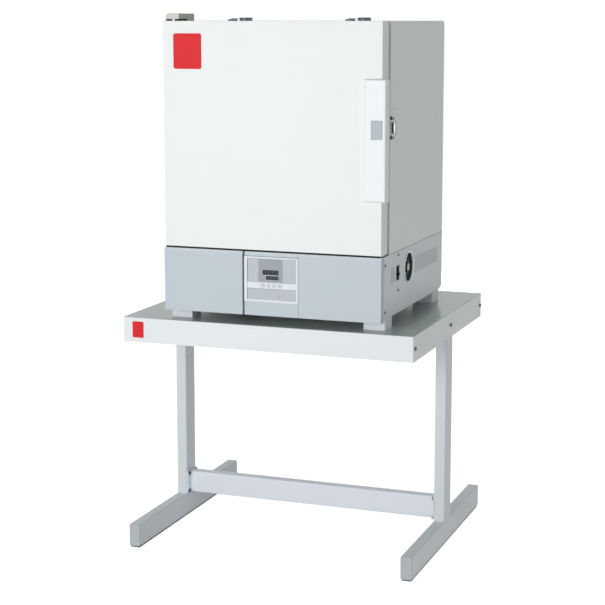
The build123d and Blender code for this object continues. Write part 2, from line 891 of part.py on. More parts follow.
with BuildPart(oven_frame) as intake_duct:
    block((duct_x, dish_back), duct_depths, duct_heights)
    block(duct_span, duct_depths, (duct_heights[0], liner_bottom - liner))
    block(
        (duct_x + duct_wall, dish_back),
        (duct_depths[0] + duct_wall, duct_depths[1] - duct_wall),
        (duct_heights[0] + duct_wall, duct_heights[1] - duct_wall),
        mode=Mode.SUBTRACT,
    )
    block(
        (duct_span[0] + duct_wall, duct_span[1] - duct_wall),
        (duct_depths[0] + duct_wall, duct_depths[1] - duct_wall),
        (duct_heights[0] + duct_wall, liner_bottom),
        mode=Mode.SUBTRACT,
    )

intake_duct.part.label = "intake_duct"
export_step(intake_duct.part, "parts/intake_duct.step")

# Breaker behind the right side, with its toggle in a slot
breaker_seat = half_width - base_panel
breaker_face = half_width - breaker_recess
toggle_x = breaker_face - toggle_pivot_depth
slot_half = toggle_width / 2 + toggle_play
toggle_place = facing("rear", toggle_x, breaker_depth, breaker_z)

with BuildPart(oven_frame) as breaker_body:
    block(
        (breaker_seat - breaker_body_depth, breaker_seat),
        (breaker_depth - breaker_width / 2, breaker_depth + breaker_width / 2),
        (breaker_z - breaker_height / 2 - breaker_flange, breaker_z + breaker_height / 2 + breaker_flange),
    )
    block(
        (breaker_seat, breaker_face),
        (
            breaker_depth - breaker_width / 2 + breaker_clearance,
            breaker_depth + breaker_width / 2 - breaker_clearance,
        ),
        (
            breaker_z - breaker_height / 2 + breaker_clearance,
            breaker_z + breaker_height / 2 - breaker_clearance,
        ),
    )
    block(
        (breaker_face - toggle_slot_depth, breaker_face + 1),
        (breaker_depth - slot_half, breaker_depth + slot_half),
        (breaker_z - toggle_slot_height / 2, breaker_z + toggle_slot_height / 2),
        mode=Mode.SUBTRACT,
    )
    drill([toggle_place], toggle_pin_radius + shaft_clearance, toggle_pin_length)

breaker_body.part.label = "breaker_body"
export_step(breaker_body.part, "parts/breaker_body.step")

with BuildPart(oven_frame) as breaker_toggle:
    with Locations(Location((toggle_x, breaker_depth, breaker_z), (0, toggle_tilt, 0))):
        Box(toggle_reach, toggle_width, toggle_thickness, align=(Align.MIN, Align.CENTER, Align.CENTER))
    with Locations(toggle_place):
        Cylinder(toggle_thickness / 2, toggle_width, align=middle)
        Cylinder(toggle_pin_radius, toggle_pin_length - 4 * shaft_clearance, align=middle)
    fillet(breaker_toggle.edges().filter_by(Axis.Y).group_by(Axis.X)[-1], sheet_edge)

breaker_toggle.part.label = "breaker_toggle"
export_step(breaker_toggle.part, "parts/breaker_toggle.step")

# Rear cover of base and casing
gland_place = facing("rear", gland_x, casing_rear, base_z + gland_rise)

with BuildPart(oven_frame) as rear_cover:
    block(
        (-chassis_half, chassis_half),
        (deck_end, casing_rear),
        (base_z + base_corner_height, oven_top - top_flange),
    )
    drill(rear_screws, screw_hole, screw_span)
    drill([gland_place], gland_thread_radius + panel_clearance, 4 * skin)

rear_cover.part.label = "rear_cover"
export_step(rear_cover.part, "parts/rear_cover.step")

# Cable gland of the mains inlet
with BuildPart(oven_frame) as cable_gland:
    with Locations(gland_place):
        Cylinder(gland_radius, gland_flange, align=rising)
        Cylinder(gland_nut, gland_nut_length, align=rising)
    fillet(cable_gland.edges().group_by(Axis.Y)[-1], gland_flange / 2)
    with Locations(gland_place):
        Cylinder(gland_thread_radius, gland_thread_length, align=sinking)
        Cylinder(gland_bore, 4 * gland_nut_length, align=middle, mode=Mode.SUBTRACT)

cable_gland.part.label = "cable_gland"
export_step(cable_gland.part, "parts/cable_gland.step")

# Casing sides, each with the rounded corner at the top rear
for name, sign in sides:
    with BuildPart(oven_frame) as casing_side:
        with BuildSketch(side(sign * half_width)) as outline:
            with Locations(((casing_front + casing_rear) / 2, (deck_z + oven_top) / 2)):
                Rectangle(casing_depth, casing_height)
            fillet(outline.vertices().group_by(Axis.X)[-1].sort_by(Axis.Y)[-1], casing_corner)
        extrude(amount=-sign * skin)
        fillet(casing_side.faces().sort_by(Axis.X)[-1 if sign > 0 else 0].edges(), sheet_edge)
        if name == "right":
            drill(keeper_screws, screw_hole, screw_span)

    casing_side.part.label = f"casing_side_{name}"
    export_step(casing_side.part, f"parts/casing_side_{name}.step")

# Casing top, which turns down over the rear
inner_half = half_width - skin
exhaust_xs = (-exhaust_x, exhaust_x)

with BuildPart(oven_frame) as casing_top:
    with BuildSketch(side(-inner_half)) as wrap:
        with Locations(((casing_front + casing_rear) / 2, oven_top - top_flange / 2)):
            Rectangle(casing_depth, top_flange)
        fillet(wrap.vertices().group_by(Axis.X)[-1].sort_by(Axis.Y)[-1], casing_corner)
    extrude(amount=2 * inner_half)
    with BuildSketch(side(-inner_half)) as hollow:
        with Locations(((casing_front + casing_rear) / 2 - skin, oven_top - top_flange / 2 - skin)):
            Rectangle(casing_depth, top_flange)
        fillet(hollow.vertices().group_by(Axis.X)[-1].sort_by(Axis.Y)[-1], casing_corner - skin)
    extrude(amount=2 * inner_half, mode=Mode.SUBTRACT)
    with Locations(*[(x, exhaust_depth, oven_top) for x in exhaust_xs]):
        Cylinder(exhaust_bore + exhaust_wall + exhaust_clearance, 4 * skin, align=middle, mode=Mode.SUBTRACT)

casing_top.part.label = "casing_top"
export_step(casing_top.part, "parts/casing_top.step")

# Front frame round the mouth of the chamber
chamber_half = chamber_width / 2

with BuildPart(oven_frame) as front_frame:
    block((-inner_half, inner_half), (casing_front, chamber_front), (deck_z, oven_top - skin))
    with BuildSketch(front(casing_front)):
        with Locations((0, door_center_z)):
            RectangleRounded(chamber_width, chamber_height, inner_plug_corner)
    extrude(amount=-frame_plate, mode=Mode.SUBTRACT)

front_frame.part.label = "front_frame"
export_step(front_frame.part, "parts/front_frame.step")

# Chamber liner, open at the front, with the heater space under the perforated floor
liner_half = chamber_half + liner
heater_z = chamber_floor - heater_space / 2
heater_xs = [(index - (heater_runs - 1) / 2) * heater_pitch for index in range(heater_runs)]
probe_z = chamber_top - probe_drop

with BuildPart(oven_frame) as chamber_liner:
    block(
        (-liner_half, liner_half),
        (chamber_front, chamber_rear + liner),
        (liner_bottom - liner, chamber_top + liner),
    )
    block(
        (-chamber_half, chamber_half),
        (chamber_front, chamber_rear),
        (liner_bottom, chamber_top),
        mode=Mode.SUBTRACT,
    )
    with Locations(*[(x, exhaust_depth, chamber_top) for x in exhaust_xs]):
        Cylinder(exhaust_bore + exhaust_wall + exhaust_clearance, 4 * liner, align=middle, mode=Mode.SUBTRACT)
    block(
        (duct_span[0] + duct_wall, duct_span[1] - duct_wall),
        (duct_depths[0] + duct_wall, duct_depths[1] - duct_wall),
        (liner_bottom - 2 * liner, liner_bottom + 1),
        mode=Mode.SUBTRACT,
    )
    drill(
        [facing("rear", x, chamber_rear, heater_z) for x in (heater_xs[0], heater_xs[-1])],
        heater_radius + heater_clearance,
        4 * liner,
    )
    drill([facing("rear", probe_x, chamber_rear, probe_z)], probe_radius + heater_clearance, 4 * liner)

chamber_liner.part.label = "chamber_liner"
export_step(chamber_liner.part, "parts/chamber_liner.step")

# Perforated chamber floor, folded down at both sides onto the liner
floor_half = chamber_half - floor_clearance

with BuildPart(oven_frame) as chamber_floor_plate:
    block(
        (-floor_half, floor_half),
        (chamber_front, chamber_rear - floor_clearance),
        (liner_bottom, chamber_floor),
    )
    block(
        (floor_plate - floor_half, floor_half - floor_plate),
        (chamber_front - 1, chamber_rear),
        (liner_bottom - 1, chamber_floor - floor_plate),
        mode=Mode.SUBTRACT,
    )
    with Locations((0, (chamber_front + chamber_rear) / 2, chamber_floor)):
        with GridLocations(floor_hole_pitch, floor_hole_pitch, floor_hole_count, floor_hole_count):
            Cylinder(floor_hole_radius, 4 * floor_plate, align=middle, mode=Mode.SUBTRACT)

chamber_floor_plate.part.label = "chamber_floor_plate"
export_step(chamber_floor_plate.part, "parts/chamber_floor_plate.step")

# Mineral wool between the liner and the casing
wool_half = inner_half - wool_gap

with BuildPart(oven_frame) as chamber_insulation:
    block((-wool_half, wool_half), (chamber_front, deck_end - wool_gap), (deck_z, oven_top - skin - wool_gap))
    top_rear = chamber_insulation.edges().filter_by(Axis.X).group_by(Axis.Z)[-1].sort_by(Axis.Y)[-1]
    fillet(top_rear, casing_corner - skin - wool_gap)
    block(
        (-liner_half - wool_clearance, liner_half + wool_clearance),
        (chamber_front, chamber_rear + liner + wool_clearance),
        (liner_bottom - liner - wool_clearance, chamber_top + liner + wool_clearance),
        mode=Mode.SUBTRACT,
    )
    with Locations(*[(x, exhaust_depth, chamber_top) for x in exhaust_xs]):
        Cylinder(exhaust_bore + exhaust_wall + wool_clearance, 4 * top_flange, align=middle, mode=Mode.SUBTRACT)
    block(
        (duct_span[0] - wool_clearance, duct_span[1] + wool_clearance),
        (duct_depths[0] - wool_clearance, duct_depths[1] + wool_clearance),
        (deck_z - 1, liner_bottom),
        mode=Mode.SUBTRACT,
    )
    drill(
        [facing("rear", x, chamber_rear, heater_z) for x in (heater_xs[0], heater_xs[-1])],
        heater_radius + wool_clearance,
        4 * heater_tail,
    )
    drill([facing("rear", probe_x, chamber_rear, probe_z)], probe_radius + wool_clearance, 4 * probe_tail)

chamber_insulation.part.label = "chamber_insulation"
export_step(chamber_insulation.part, "parts/chamber_insulation.step")

# Heater: one tube in straight runs joined by half turns, with both tails through the rear wall
bend_radius = heater_pitch / 2
run_front = chamber_front + heater_setback + bend_radius
run_rear = chamber_rear - heater_setback - bend_radius
tail_rear = chamber_rear + liner + heater_tail

with BuildPart(oven_frame) as heater_element:
    for index, x in enumerate(heater_xs):
        run_end = tail_rear if index in (0, heater_runs - 1) else run_rear
        with Locations(facing("rear", x, run_front, heater_z)):
            Cylinder(heater_radius, run_end - run_front, align=rising)
    for index in range(heater_runs - 1):
        at_front = index % 2 == 0
        place = (heater_xs[index] + bend_radius, run_front if at_front else run_rear, heater_z)
        with Locations(Location(place, (0, 0, 180 if at_front else 0))):
            Torus(bend_radius, heater_radius, major_angle=180, align=None)

heater_element.part.label = "heater_element"
export_step(heater_element.part, "parts/heater_element.step")

# Ledges on both walls that the shelves lie on
ledge_span = (chamber_front + ledge_setback, chamber_rear - ledge_setback)
shelf_levels = {"lower": chamber_floor + shelf_pitch, "upper": chamber_floor + 2 * shelf_pitch}

with BuildPart(oven_frame) as shelf_supports:
    for z in shelf_levels.values():
        for sign in (-1, 1):
            inner, outer = sign * (chamber_half - ledge_width), sign * chamber_half
            web = sign * (chamber_half - ledge_sheet)
            block((min(inner, outer), max(inner, outer)), ledge_span, (z - ledge_sheet, z))
            block((min(web, outer), max(web, outer)), ledge_span, (z - ledge_lip, z))

shelf_supports.part.label = "shelf_supports"
export_step(shelf_supports.part, "parts/shelf_supports.step")

# Two wire shelves
bar_half = chamber_half - shelf_clearance - shelf_bar_radius
bar_front = ledge_span[0] + shelf_bar_radius
bar_rear = ledge_span[1] - shelf_bar_radius
wire_step = 2 * bar_half / (shelf_wire_count + 1)

for name, z in shelf_levels.items():
    bar_z = z + shelf_bar_radius
    with BuildPart(oven_frame) as shelf:
        with Locations(*[facing("right", -bar_half, depth, bar_z) for depth in (bar_front, bar_rear)]):
            Cylinder(shelf_bar_radius, 2 * bar_half, align=rising)
        with Locations(*[facing("rear", x, bar_front, bar_z) for x in (-bar_half, bar_half)]):
            Cylinder(shelf_bar_radius, bar_rear - bar_front, align=rising)
        with Locations(*[(x, depth, bar_z) for x in (-bar_half, bar_half) for depth in (bar_front, bar_rear)]):
            Sphere(shelf_bar_radius)
        for index in range(shelf_wire_count):
            with Locations(facing("rear", (index + 1) * wire_step - bar_half, bar_front, bar_z)):
                Cylinder(shelf_wire_radius, bar_rear - bar_front, align=rising)

    shelf.part.label = f"shelf_{name}"
    export_step(shelf.part, f"parts/shelf_{name}.step")

# Temperature probe through the rear wall
with BuildPart(oven_frame) as chamber_probe:
    with Locations(facing("rear", probe_x, chamber_rear - probe_reach, probe_z)):
        Cylinder(probe_radius, probe_reach + liner + probe_tail, align=rising)
    fillet(chamber_probe.edges().group_by(Axis.Y)[0], probe_tip)

chamber_probe.part.label = "chamber_probe"
export_step(chamber_probe.part, "parts/chamber_probe.step")

# Exhaust tubes with their collars, and beside each the pivot of its lid
with BuildPart(oven_frame) as exhaust_collars:
    with Locations(*[(x, exhaust_depth, oven_top) for x in exhaust_xs]):
        Cylinder(exhaust_collar_radius, exhaust_collar_height, align=rising)
        Cylinder(exhaust_bore + exhaust_wall, oven_top - chamber_top, align=sinking)
        Cylinder(exhaust_bore, 4 * top_flange, align=middle, mode=Mode.SUBTRACT)
    with Locations(*[(x - pivot_offset, exhaust_depth, oven_top) for x in exhaust_xs]):
        Cylinder(pivot_radius, pivot_height, align=rising)
    fillet(exhaust_collars.faces().filter_by(GeomType.PLANE).group_by(Axis.Z)[-1].edges(), pivot_edge)
    with Locations(*[(x - pivot_offset, exhaust_depth, oven_top + pivot_height) for x in exhaust_xs]):
        Cylinder(lid_pin_radius, lid_pin_height, align=rising)

exhaust_collars.part.label = "exhaust_collars"
export_step(exhaust_collars.part, "parts/exhaust_collars.step")

# Exhaust lids that swing aside on their arms
arm_z = oven_top + pivot_height + running_gap
lid_z = oven_top + exhaust_collar_height + running_gap

for (name, sign), x in zip(sides, exhaust_xs):
    with BuildPart(oven_frame) as exhaust_lid:
        with Locations((x, exhaust_depth, lid_z)):
            Cylinder(lid_radius, lid_height, align=rising)
        fillet(exhaust_lid.edges().group_by(Axis.Z)[-1], lid_edge)
        with BuildSketch(level(arm_z + running_gap)):
            with Locations((x - pivot_offset / 2, exhaust_depth)):
                SlotCenterToCenter(pivot_offset, lid_arm_width)
        extrude(amount=lid_arm_thickness)
        with Locations((x - pivot_offset, exhaust_depth, arm_z)):
            Cylinder(lid_pin_radius + shaft_clearance, 4 * lid_pin_height, align=middle, mode=Mode.SUBTRACT)

    exhaust_lid.part.label = f"exhaust_lid_{name}"
    export_step(exhaust_lid.part, f"parts/exhaust_lid_{name}.step")

# Door skin: a tray with a rounded top rear corner and a flange round the rear
pin_places = [(hinge_x, hinge_setback, door_bottom), (hinge_x, hinge_setback, oven_top)]

with BuildPart(oven_frame) as door_outer_panel:
    with BuildSketch(side(-half_door)) as outline:
        with Locations((door_thickness / 2, door_center_z)):
            Rectangle(door_thickness, door_height)
        fillet(outline.vertices().group_by(Axis.X)[-1].sort_by(Axis.Y)[-1], door_corner)
    extrude(amount=door_width)
    fillet(door_outer_panel.faces().sort_by(Axis.Y)[0].edges(), door_edge)
    with BuildSketch(side(door_skin - half_door)) as hollow:
        with Locations((door_thickness / 2, door_center_z)):
            Rectangle(door_thickness - 2 * door_skin, door_height - 2 * door_skin)
        fillet(hollow.vertices().group_by(Axis.X)[-1].sort_by(Axis.Y)[-1], door_corner - door_skin)
    extrude(amount=door_width - 2 * door_skin, mode=Mode.SUBTRACT)
    block(
        (door_flange - half_door, half_door - door_flange),
        (door_thickness - 2 * door_skin, door_thickness + 1),
        (door_bottom + door_flange, oven_top - door_flange),
        mode=Mode.SUBTRACT,
    )
    with Locations(*pin_places):
        Cylinder(bush_radius + bush_fit, 4 * door_skin, align=middle, mode=Mode.SUBTRACT)

door_outer_panel.part.label = "door_outer_panel"
export_step(door_outer_panel.part, "parts/door_outer_panel.step")

# Mineral wool in the door
with BuildPart(oven_frame) as door_insulation:
    with BuildSketch(side(door_skin + wool_clearance - half_door)) as filling:
        with Locations((door_thickness / 2, door_center_z)):
            Rectangle(
                door_thickness - 2 * door_skin - 2 * wool_clearance,
                door_height - 2 * door_skin - 2 * wool_clearance,
            )
        fillet(filling.vertices().group_by(Axis.X)[-1].sort_by(Axis.Y)[-1], door_corner)
    extrude(amount=door_width - 2 * door_skin - 2 * wool_clearance)
    with Locations(*pin_places):
        Cylinder(bush_radius + wool_clearance, 2 * bush_length + 2, align=middle, mode=Mode.SUBTRACT)

door_insulation.part.label = "door_insulation"
export_step(door_insulation.part, "parts/door_insulation.step")

# Inner panel of the door, pressed out to fill the mouth of the chamber's frame
plug_size = chamber_width - 2 * inner_plug_inset
plate_rear = door_thickness + inner_plate

with BuildPart(oven_frame) as door_inner_panel:
    block(
        (inner_plate_margin - half_door, half_door - inner_plate_margin),
        (door_thickness, plate_rear),
        (door_bottom + inner_plate_margin, oven_top - inner_plate_margin),
    )
    with BuildSketch(front(door_thickness)):
        with Locations((0, door_center_z)):
            RectangleRounded(plug_size, plug_size, inner_plug_corner)
    extrude(amount=-inner_plate - inner_plug_height)
    fillet(door_inner_panel.faces().sort_by(Axis.Y)[-1].edges(), inner_plug_height / 2)
    block(
        (inner_plug_corner - plug_size / 2, plug_size / 2 - inner_plug_corner),
        (door_thickness - 1, door_thickness + inner_plug_height),
        (
            door_center_z + inner_plug_corner - plug_size / 2,
            door_center_z - inner_plug_corner + plug_size / 2,
        ),
        mode=Mode.SUBTRACT,
    )

door_inner_panel.part.label = "door_inner_panel"
export_step(door_inner_panel.part, "parts/door_inner_panel.step")

# Gasket that seals the door against the front frame
gasket_width_outer = door_width - 2 * gasket_inset
gasket_height_outer = door_height - 2 * gasket_inset

with BuildPart(oven_frame) as door_gasket:
    with BuildSketch(front(plate_rear)):
        with Locations((0, door_center_z)):
            RectangleRounded(gasket_width_outer, gasket_height_outer, gasket_width)
            RectangleRounded(
                gasket_width_outer - 2 * gasket_width,
                gasket_height_outer - 2 * gasket_width,
                gasket_edge,
                mode=Mode.SUBTRACT,
            )
    extrude(amount=plate_rear + gasket_clearance - casing_front)
    fillet(door_gasket.edges().group_by(Axis.Y)[-1], gasket_edge)

door_gasket.part.label = "door_gasket"
export_step(door_gasket.part, "parts/door_gasket.step")

# Bushes of the door's hinges, with a spacer collar above and a washer below
washer_height = door_gap - hinge_plate_thickness - hinge_play

with BuildPart(oven_frame) as hinge_bushes:
    with Locations((hinge_x, hinge_setback, oven_top)):
        Cylinder(bush_radius, bush_length, align=sinking)
        Cylinder(bush_collar_radius, bush_collar_height, align=rising)
    with Locations((hinge_x, hinge_setback, door_bottom)):
        Cylinder(bush_radius, bush_length, align=rising)
        Cylinder(bush_collar_radius, washer_height, align=sinking)
    with Locations(*pin_places):
        Cylinder(hinge_pin_radius + shaft_clearance, 2 * bush_length + 2, align=middle, mode=Mode.SUBTRACT)

hinge_bushes.part.label = "hinge_bushes"
export_step(hinge_bushes.part, "parts/hinge_bushes.step")

# Hinge brackets: an arm over the door on a pad on the casing, and a plate on the deck, each with its pin
cover_left = hinge_cover_left - half_door
cover_right = cover_left + hinge_cover_width
arm_span = (
    cover_left + hinge_cover_wall + hinge_arm_clearance,
    cover_right - hinge_cover_wall - hinge_arm_clearance,
)
arm_end = hinge_cover_rear - hinge_cover_wall - hinge_arm_clearance

with BuildPart(oven_frame) as hinge_brackets:
    block(
        arm_span,
        (hinge_cover_front + hinge_cover_wall + hinge_arm_clearance, arm_end),
        (oven_top + hinge_lift, oven_top + hinge_lift + hinge_arm_thickness),
    )
    block(arm_span, (casing_front, arm_end), (oven_top, oven_top + hinge_lift))
    with Locations((hinge_x, hinge_setback, oven_top - hinge_pin_length)):
        Cylinder(hinge_pin_radius, hinge_pin_length + hinge_lift, align=rising)
    block(
        (hinge_x - hinge_plate_left, hinge_x + hinge_plate_right),
        (hinge_plate_front, hinge_plate_rear),
        (deck_z, deck_z + hinge_plate_thickness),
    )
    with Locations((hinge_x, hinge_setback, deck_z + hinge_plate_thickness)):
        Cylinder(hinge_pin_radius, door_gap + hinge_pin_length - hinge_plate_thickness, align=rising)

hinge_brackets.part.label = "hinge_brackets"
export_step(hinge_brackets.part, "parts/hinge_brackets.step")

# Cover of the top hinge, which stands on the casing and reaches over the door
cover_center = ((cover_left + cover_right) / 2, oven_top + hinge_cover_height / 2)

with BuildPart(oven_frame) as top_hinge_cover:
    with BuildSketch(front(hinge_cover_front)) as outline:
        with Locations(cover_center):
            Rectangle(hinge_cover_width, hinge_cover_height)
        upper = outline.vertices().group_by(Axis.Y)[-1].sort_by(Axis.X)
        fillet(upper[0], hinge_cover_round)
        fillet(upper[-1], hinge_cover_edge)
    extrude(amount=hinge_cover_front - hinge_cover_rear)
    fillet(top_hinge_cover.faces().sort_by(Axis.Y)[0].edges().group_by(Axis.Z)[1:], hinge_cover_rim)
    with BuildSketch(front(hinge_cover_front + hinge_cover_wall)) as hollow:
        with Locations(cover_center):
            Rectangle(hinge_cover_width - 2 * hinge_cover_wall, hinge_cover_height - 2 * hinge_cover_wall)
        upper = hollow.vertices().group_by(Axis.Y)[-1].sort_by(Axis.X)
        fillet(upper[0], hinge_cover_round - hinge_cover_wall)
        fillet(upper[-1], hinge_cover_edge - hinge_cover_wall)
    extrude(amount=hinge_cover_front - hinge_cover_rear + 2 * hinge_cover_wall, mode=Mode.SUBTRACT)
    block(
        (cover_left + hinge_cover_wall, cover_right - hinge_cover_wall),
        (hinge_cover_front + hinge_cover_wall, hinge_cover_rear - hinge_cover_wall),
        (oven_top - 1, oven_top + 2 * hinge_cover_wall),
        mode=Mode.SUBTRACT,
    )
    block(
        (cover_left - 1, cover_right + 1),
        (hinge_cover_front - 1, casing_front),
        (oven_top - 1, oven_top + hinge_cover_lift),
        mode=Mode.SUBTRACT,
    )

top_hinge_cover.part.label = "top_hinge_cover"
export_step(top_hinge_cover.part, "parts/top_hinge_cover.step")

# Handle: a hollow cover on the door's front that wraps round its right side and holds the latch
handle_right = half_door + handle_overhang
handle_left = handle_right - handle_width
handle_top = oven_top - handle_drop
handle_bottom = handle_top - handle_height
pivot_x = handle_right - latch_pivot_inset
latch_half = latch_height / 2
arm_inner = pivot_x + running_gap / 3
arm_outer = arm_inner + arm_thickness
button_right = handle_right - button_inset
button_left = button_right - button_width

with BuildPart(oven_frame) as door_handle:
    block((handle_left, handle_right), (-handle_proud, handle_return), (handle_bottom, handle_top))
    fillet(door_handle.faces().sort_by(Axis.Y)[0].edges(), handle_edge)
    block(
        (handle_left - 1, half_door),
        (0, handle_return + 1),
        (handle_bottom - 1, handle_top + 1),
        mode=Mode.SUBTRACT,
    )
    block(
        (handle_left + handle_wall, handle_right - handle_wall),
        (handle_wall - handle_proud, 0),
        (handle_bottom + handle_wall, handle_top - handle_wall),
        mode=Mode.SUBTRACT,
    )
    block(
        (half_door, handle_right - handle_wall),
        (-handle_wall, handle_return - handle_wall),
        (handle_bottom + handle_wall, handle_top - handle_wall),
        mode=Mode.SUBTRACT,
    )
    for z_span in (
        (latch_z + latch_half + latch_gap, latch_z + latch_half + latch_gap + latch_boss_height),
        (latch_z - latch_half - latch_gap - latch_boss_height, latch_z - latch_half - latch_gap),
    ):
        block(
            (pivot_x - latch_barrel_radius, handle_right - handle_wall),
            (latch_pivot_depth - latch_boss_depth / 2, latch_pivot_depth + latch_boss_depth / 2),
            z_span,
        )
    with Locations((pivot_x, latch_pivot_depth, latch_z)):
        Cylinder(
            latch_pin_radius + shaft_clearance,
            latch_height + 2 * latch_gap + 2 * latch_boss_height,
            align=middle,
            mode=Mode.SUBTRACT,
        )
    block(
        (button_left - button_clearance, button_right + button_clearance),
        (-handle_proud - 1, handle_wall - handle_proud),
        (latch_z - button_height / 2 - button_clearance, latch_z + button_height / 2 + button_clearance),
        mode=Mode.SUBTRACT,
    )
    block(
        (arm_inner - 2 * latch_gap, handle_right - handle_wall),
        (handle_return - handle_wall - 1, handle_return + 1),
        (latch_z - latch_half - 2 * latch_gap, latch_z + latch_half + 2 * latch_gap),
        mode=Mode.SUBTRACT,
    )

door_handle.part.label = "door_handle"
export_step(door_handle.part, "parts/door_handle.step")

# Button of the latch, held behind the handle's front wall by its flange
flange_front = handle_wall - handle_proud + latch_gap
flange_back = flange_front + button_flange_thickness
boss_x = pivot_x - tail_length
tail_face = flange_back + button_travel + 3 * latch_gap

with BuildPart(oven_frame) as latch_button:
    block(
        (button_left, button_right),
        (-handle_proud - button_proud, flange_back),
        (latch_z - button_height / 2, latch_z + button_height / 2),
    )
    fillet(latch_button.faces().sort_by(Axis.Y)[0].edges(), button_edge)
    block(
        (button_left - button_flange, button_right + button_flange),
        (flange_front, flange_back),
        (latch_z - button_height / 2 - button_flange, latch_z + button_height / 2 + button_flange),
    )
    block(
        (boss_x - button_boss / 2, boss_x + button_boss / 2),
        (flange_back, tail_face - latch_gap),
        (latch_z - button_boss, latch_z + button_boss),
    )

latch_button.part.label = "latch_button"
export_step(latch_button.part, "parts/latch_button.step")

# Latch lever: the button pushes its tail, and its arm carries the hook back to the keeper
hook_inner = half_width + keeper_plate + keeper_bar_proud + 2 * latch_gap
latch_span = (latch_z - latch_half, latch_z + latch_half)

with BuildPart(oven_frame) as latch_lever:
    block((boss_x - tail_overlap, arm_outer), (tail_face, tail_face + tail_thickness), latch_span)
    block((arm_inner, arm_outer), (tail_face, hook_end), latch_span)
    block((hook_inner, arm_outer), (hook_start, hook_end), latch_span)
    with Locations((pivot_x, latch_pivot_depth, latch_z)):
        Cylinder(latch_barrel_radius, latch_height, align=middle)
        Cylinder(latch_pin_radius, latch_height + 2 * latch_gap + 2 * latch_pin_length, align=middle)

latch_lever.part.label = "latch_lever"
export_step(latch_lever.part, "parts/latch_lever.step")

# Keeper on the casing's right side: a bar that the hook catches and a lip behind it
keeper_face = half_width + keeper_plate
bar_span = (latch_z - keeper_bar_height / 2, latch_z + keeper_bar_height / 2)

with BuildPart(oven_frame) as latch_keeper:
    block(
        (half_width, keeper_face),
        (keeper_front, keeper_rear),
        (latch_z - keeper_height / 2, latch_z + keeper_height / 2),
    )
    fillet(latch_keeper.edges().filter_by(Axis.X), screw_radius)
    block((keeper_face, keeper_face + keeper_bar_proud), (keeper_bar_start, keeper_bar_end), bar_span)
    block((keeper_face, keeper_face + keeper_lip_proud), (keeper_lip_start, keeper_lip_end), bar_span)
    drill(keeper_screws, screw_hole, screw_span)

latch_keeper.part.label = "latch_keeper"
export_step(latch_keeper.part, "parts/latch_keeper.step")

# Blank plate on the door
with BuildPart() as door_plate:
    with BuildSketch(front(0)):
        with Locations((door_plate_x, oven_top - door_plate_drop)):
            RectangleRounded(door_plate_width, door_plate_height, plate_corner)
    extrude(amount=plate_thickness)
    fillet(door_plate.faces().sort_by(Axis.Y)[0].edges(), plate_thickness / 3)

door_plate.part.label = "door_plate"
export_step(door_plate.part, "parts/door_plate.step")

# Panel screws with a slot across each head
all_screws = base_screws["left"] + base_screws["right"] + rear_screws + keeper_screws

with BuildPart(oven_frame) as panel_screws:
    with Locations(*all_screws):
        Cylinder(screw_head_radius, screw_head_height, align=rising)
        Cylinder(screw_radius, screw_length, align=sinking)
        with Locations((0, 0, screw_head_height)):
            Box(3 * screw_head_radius, screw_slot_width, 2 * screw_slot_depth, mode=Mode.SUBTRACT)

panel_screws.part.label = "panel_screws"
export_step(panel_screws.part, "parts/panel_screws.step")
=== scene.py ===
import math

import bpy
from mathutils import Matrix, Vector


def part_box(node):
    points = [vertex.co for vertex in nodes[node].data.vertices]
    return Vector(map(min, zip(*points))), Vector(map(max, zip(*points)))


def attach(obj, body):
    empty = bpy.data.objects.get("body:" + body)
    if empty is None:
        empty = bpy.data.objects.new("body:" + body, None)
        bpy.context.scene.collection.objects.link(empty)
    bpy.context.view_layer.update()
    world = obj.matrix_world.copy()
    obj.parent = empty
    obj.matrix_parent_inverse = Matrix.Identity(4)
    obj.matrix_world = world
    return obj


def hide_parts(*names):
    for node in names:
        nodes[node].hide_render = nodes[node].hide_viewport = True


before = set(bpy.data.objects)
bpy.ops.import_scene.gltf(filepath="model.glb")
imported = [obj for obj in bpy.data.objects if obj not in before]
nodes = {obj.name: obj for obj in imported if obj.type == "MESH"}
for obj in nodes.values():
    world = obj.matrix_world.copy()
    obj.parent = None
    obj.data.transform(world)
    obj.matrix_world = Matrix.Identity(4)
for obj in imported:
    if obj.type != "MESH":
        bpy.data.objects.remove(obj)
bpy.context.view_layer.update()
print("frame loaded:", len(nodes), "nodes")


# Colours, shader maths and materials
def tint(red, green, blue):
    # screen values 0 to 255 as the linear colour that the shaders want
    channels = [value / 255 for value in (red, green, blue)]
    return [c / 12.92 if c <= 0.04045 else ((c + 0.055) / 1.055) ** 2.4 for c in channels] + [1.0]


def shade(colour, amount):
    return [channel * amount for channel in colour[:3]] + [1.0]


class Wire:
    # one output socket, with arithmetic that adds Math nodes
    def __init__(self, desk, socket):
        self.desk, self.socket = desk, socket

    def maths(self, operation, first, second=0.0):
        return self.desk.node("ShaderNodeMath", {"operation": operation}, {0: first, 1: second})

    def __add__(self, other):
        return self.maths("ADD", self, other)

    __radd__ = __add__

    def __sub__(self, other):
        return self.maths("SUBTRACT", self, other)

    def __rsub__(self, other):
        return self.maths("SUBTRACT", other, self)

    def __mul__(self, other):
        return self.maths("MULTIPLY", self, other)

    __rmul__ = __mul__


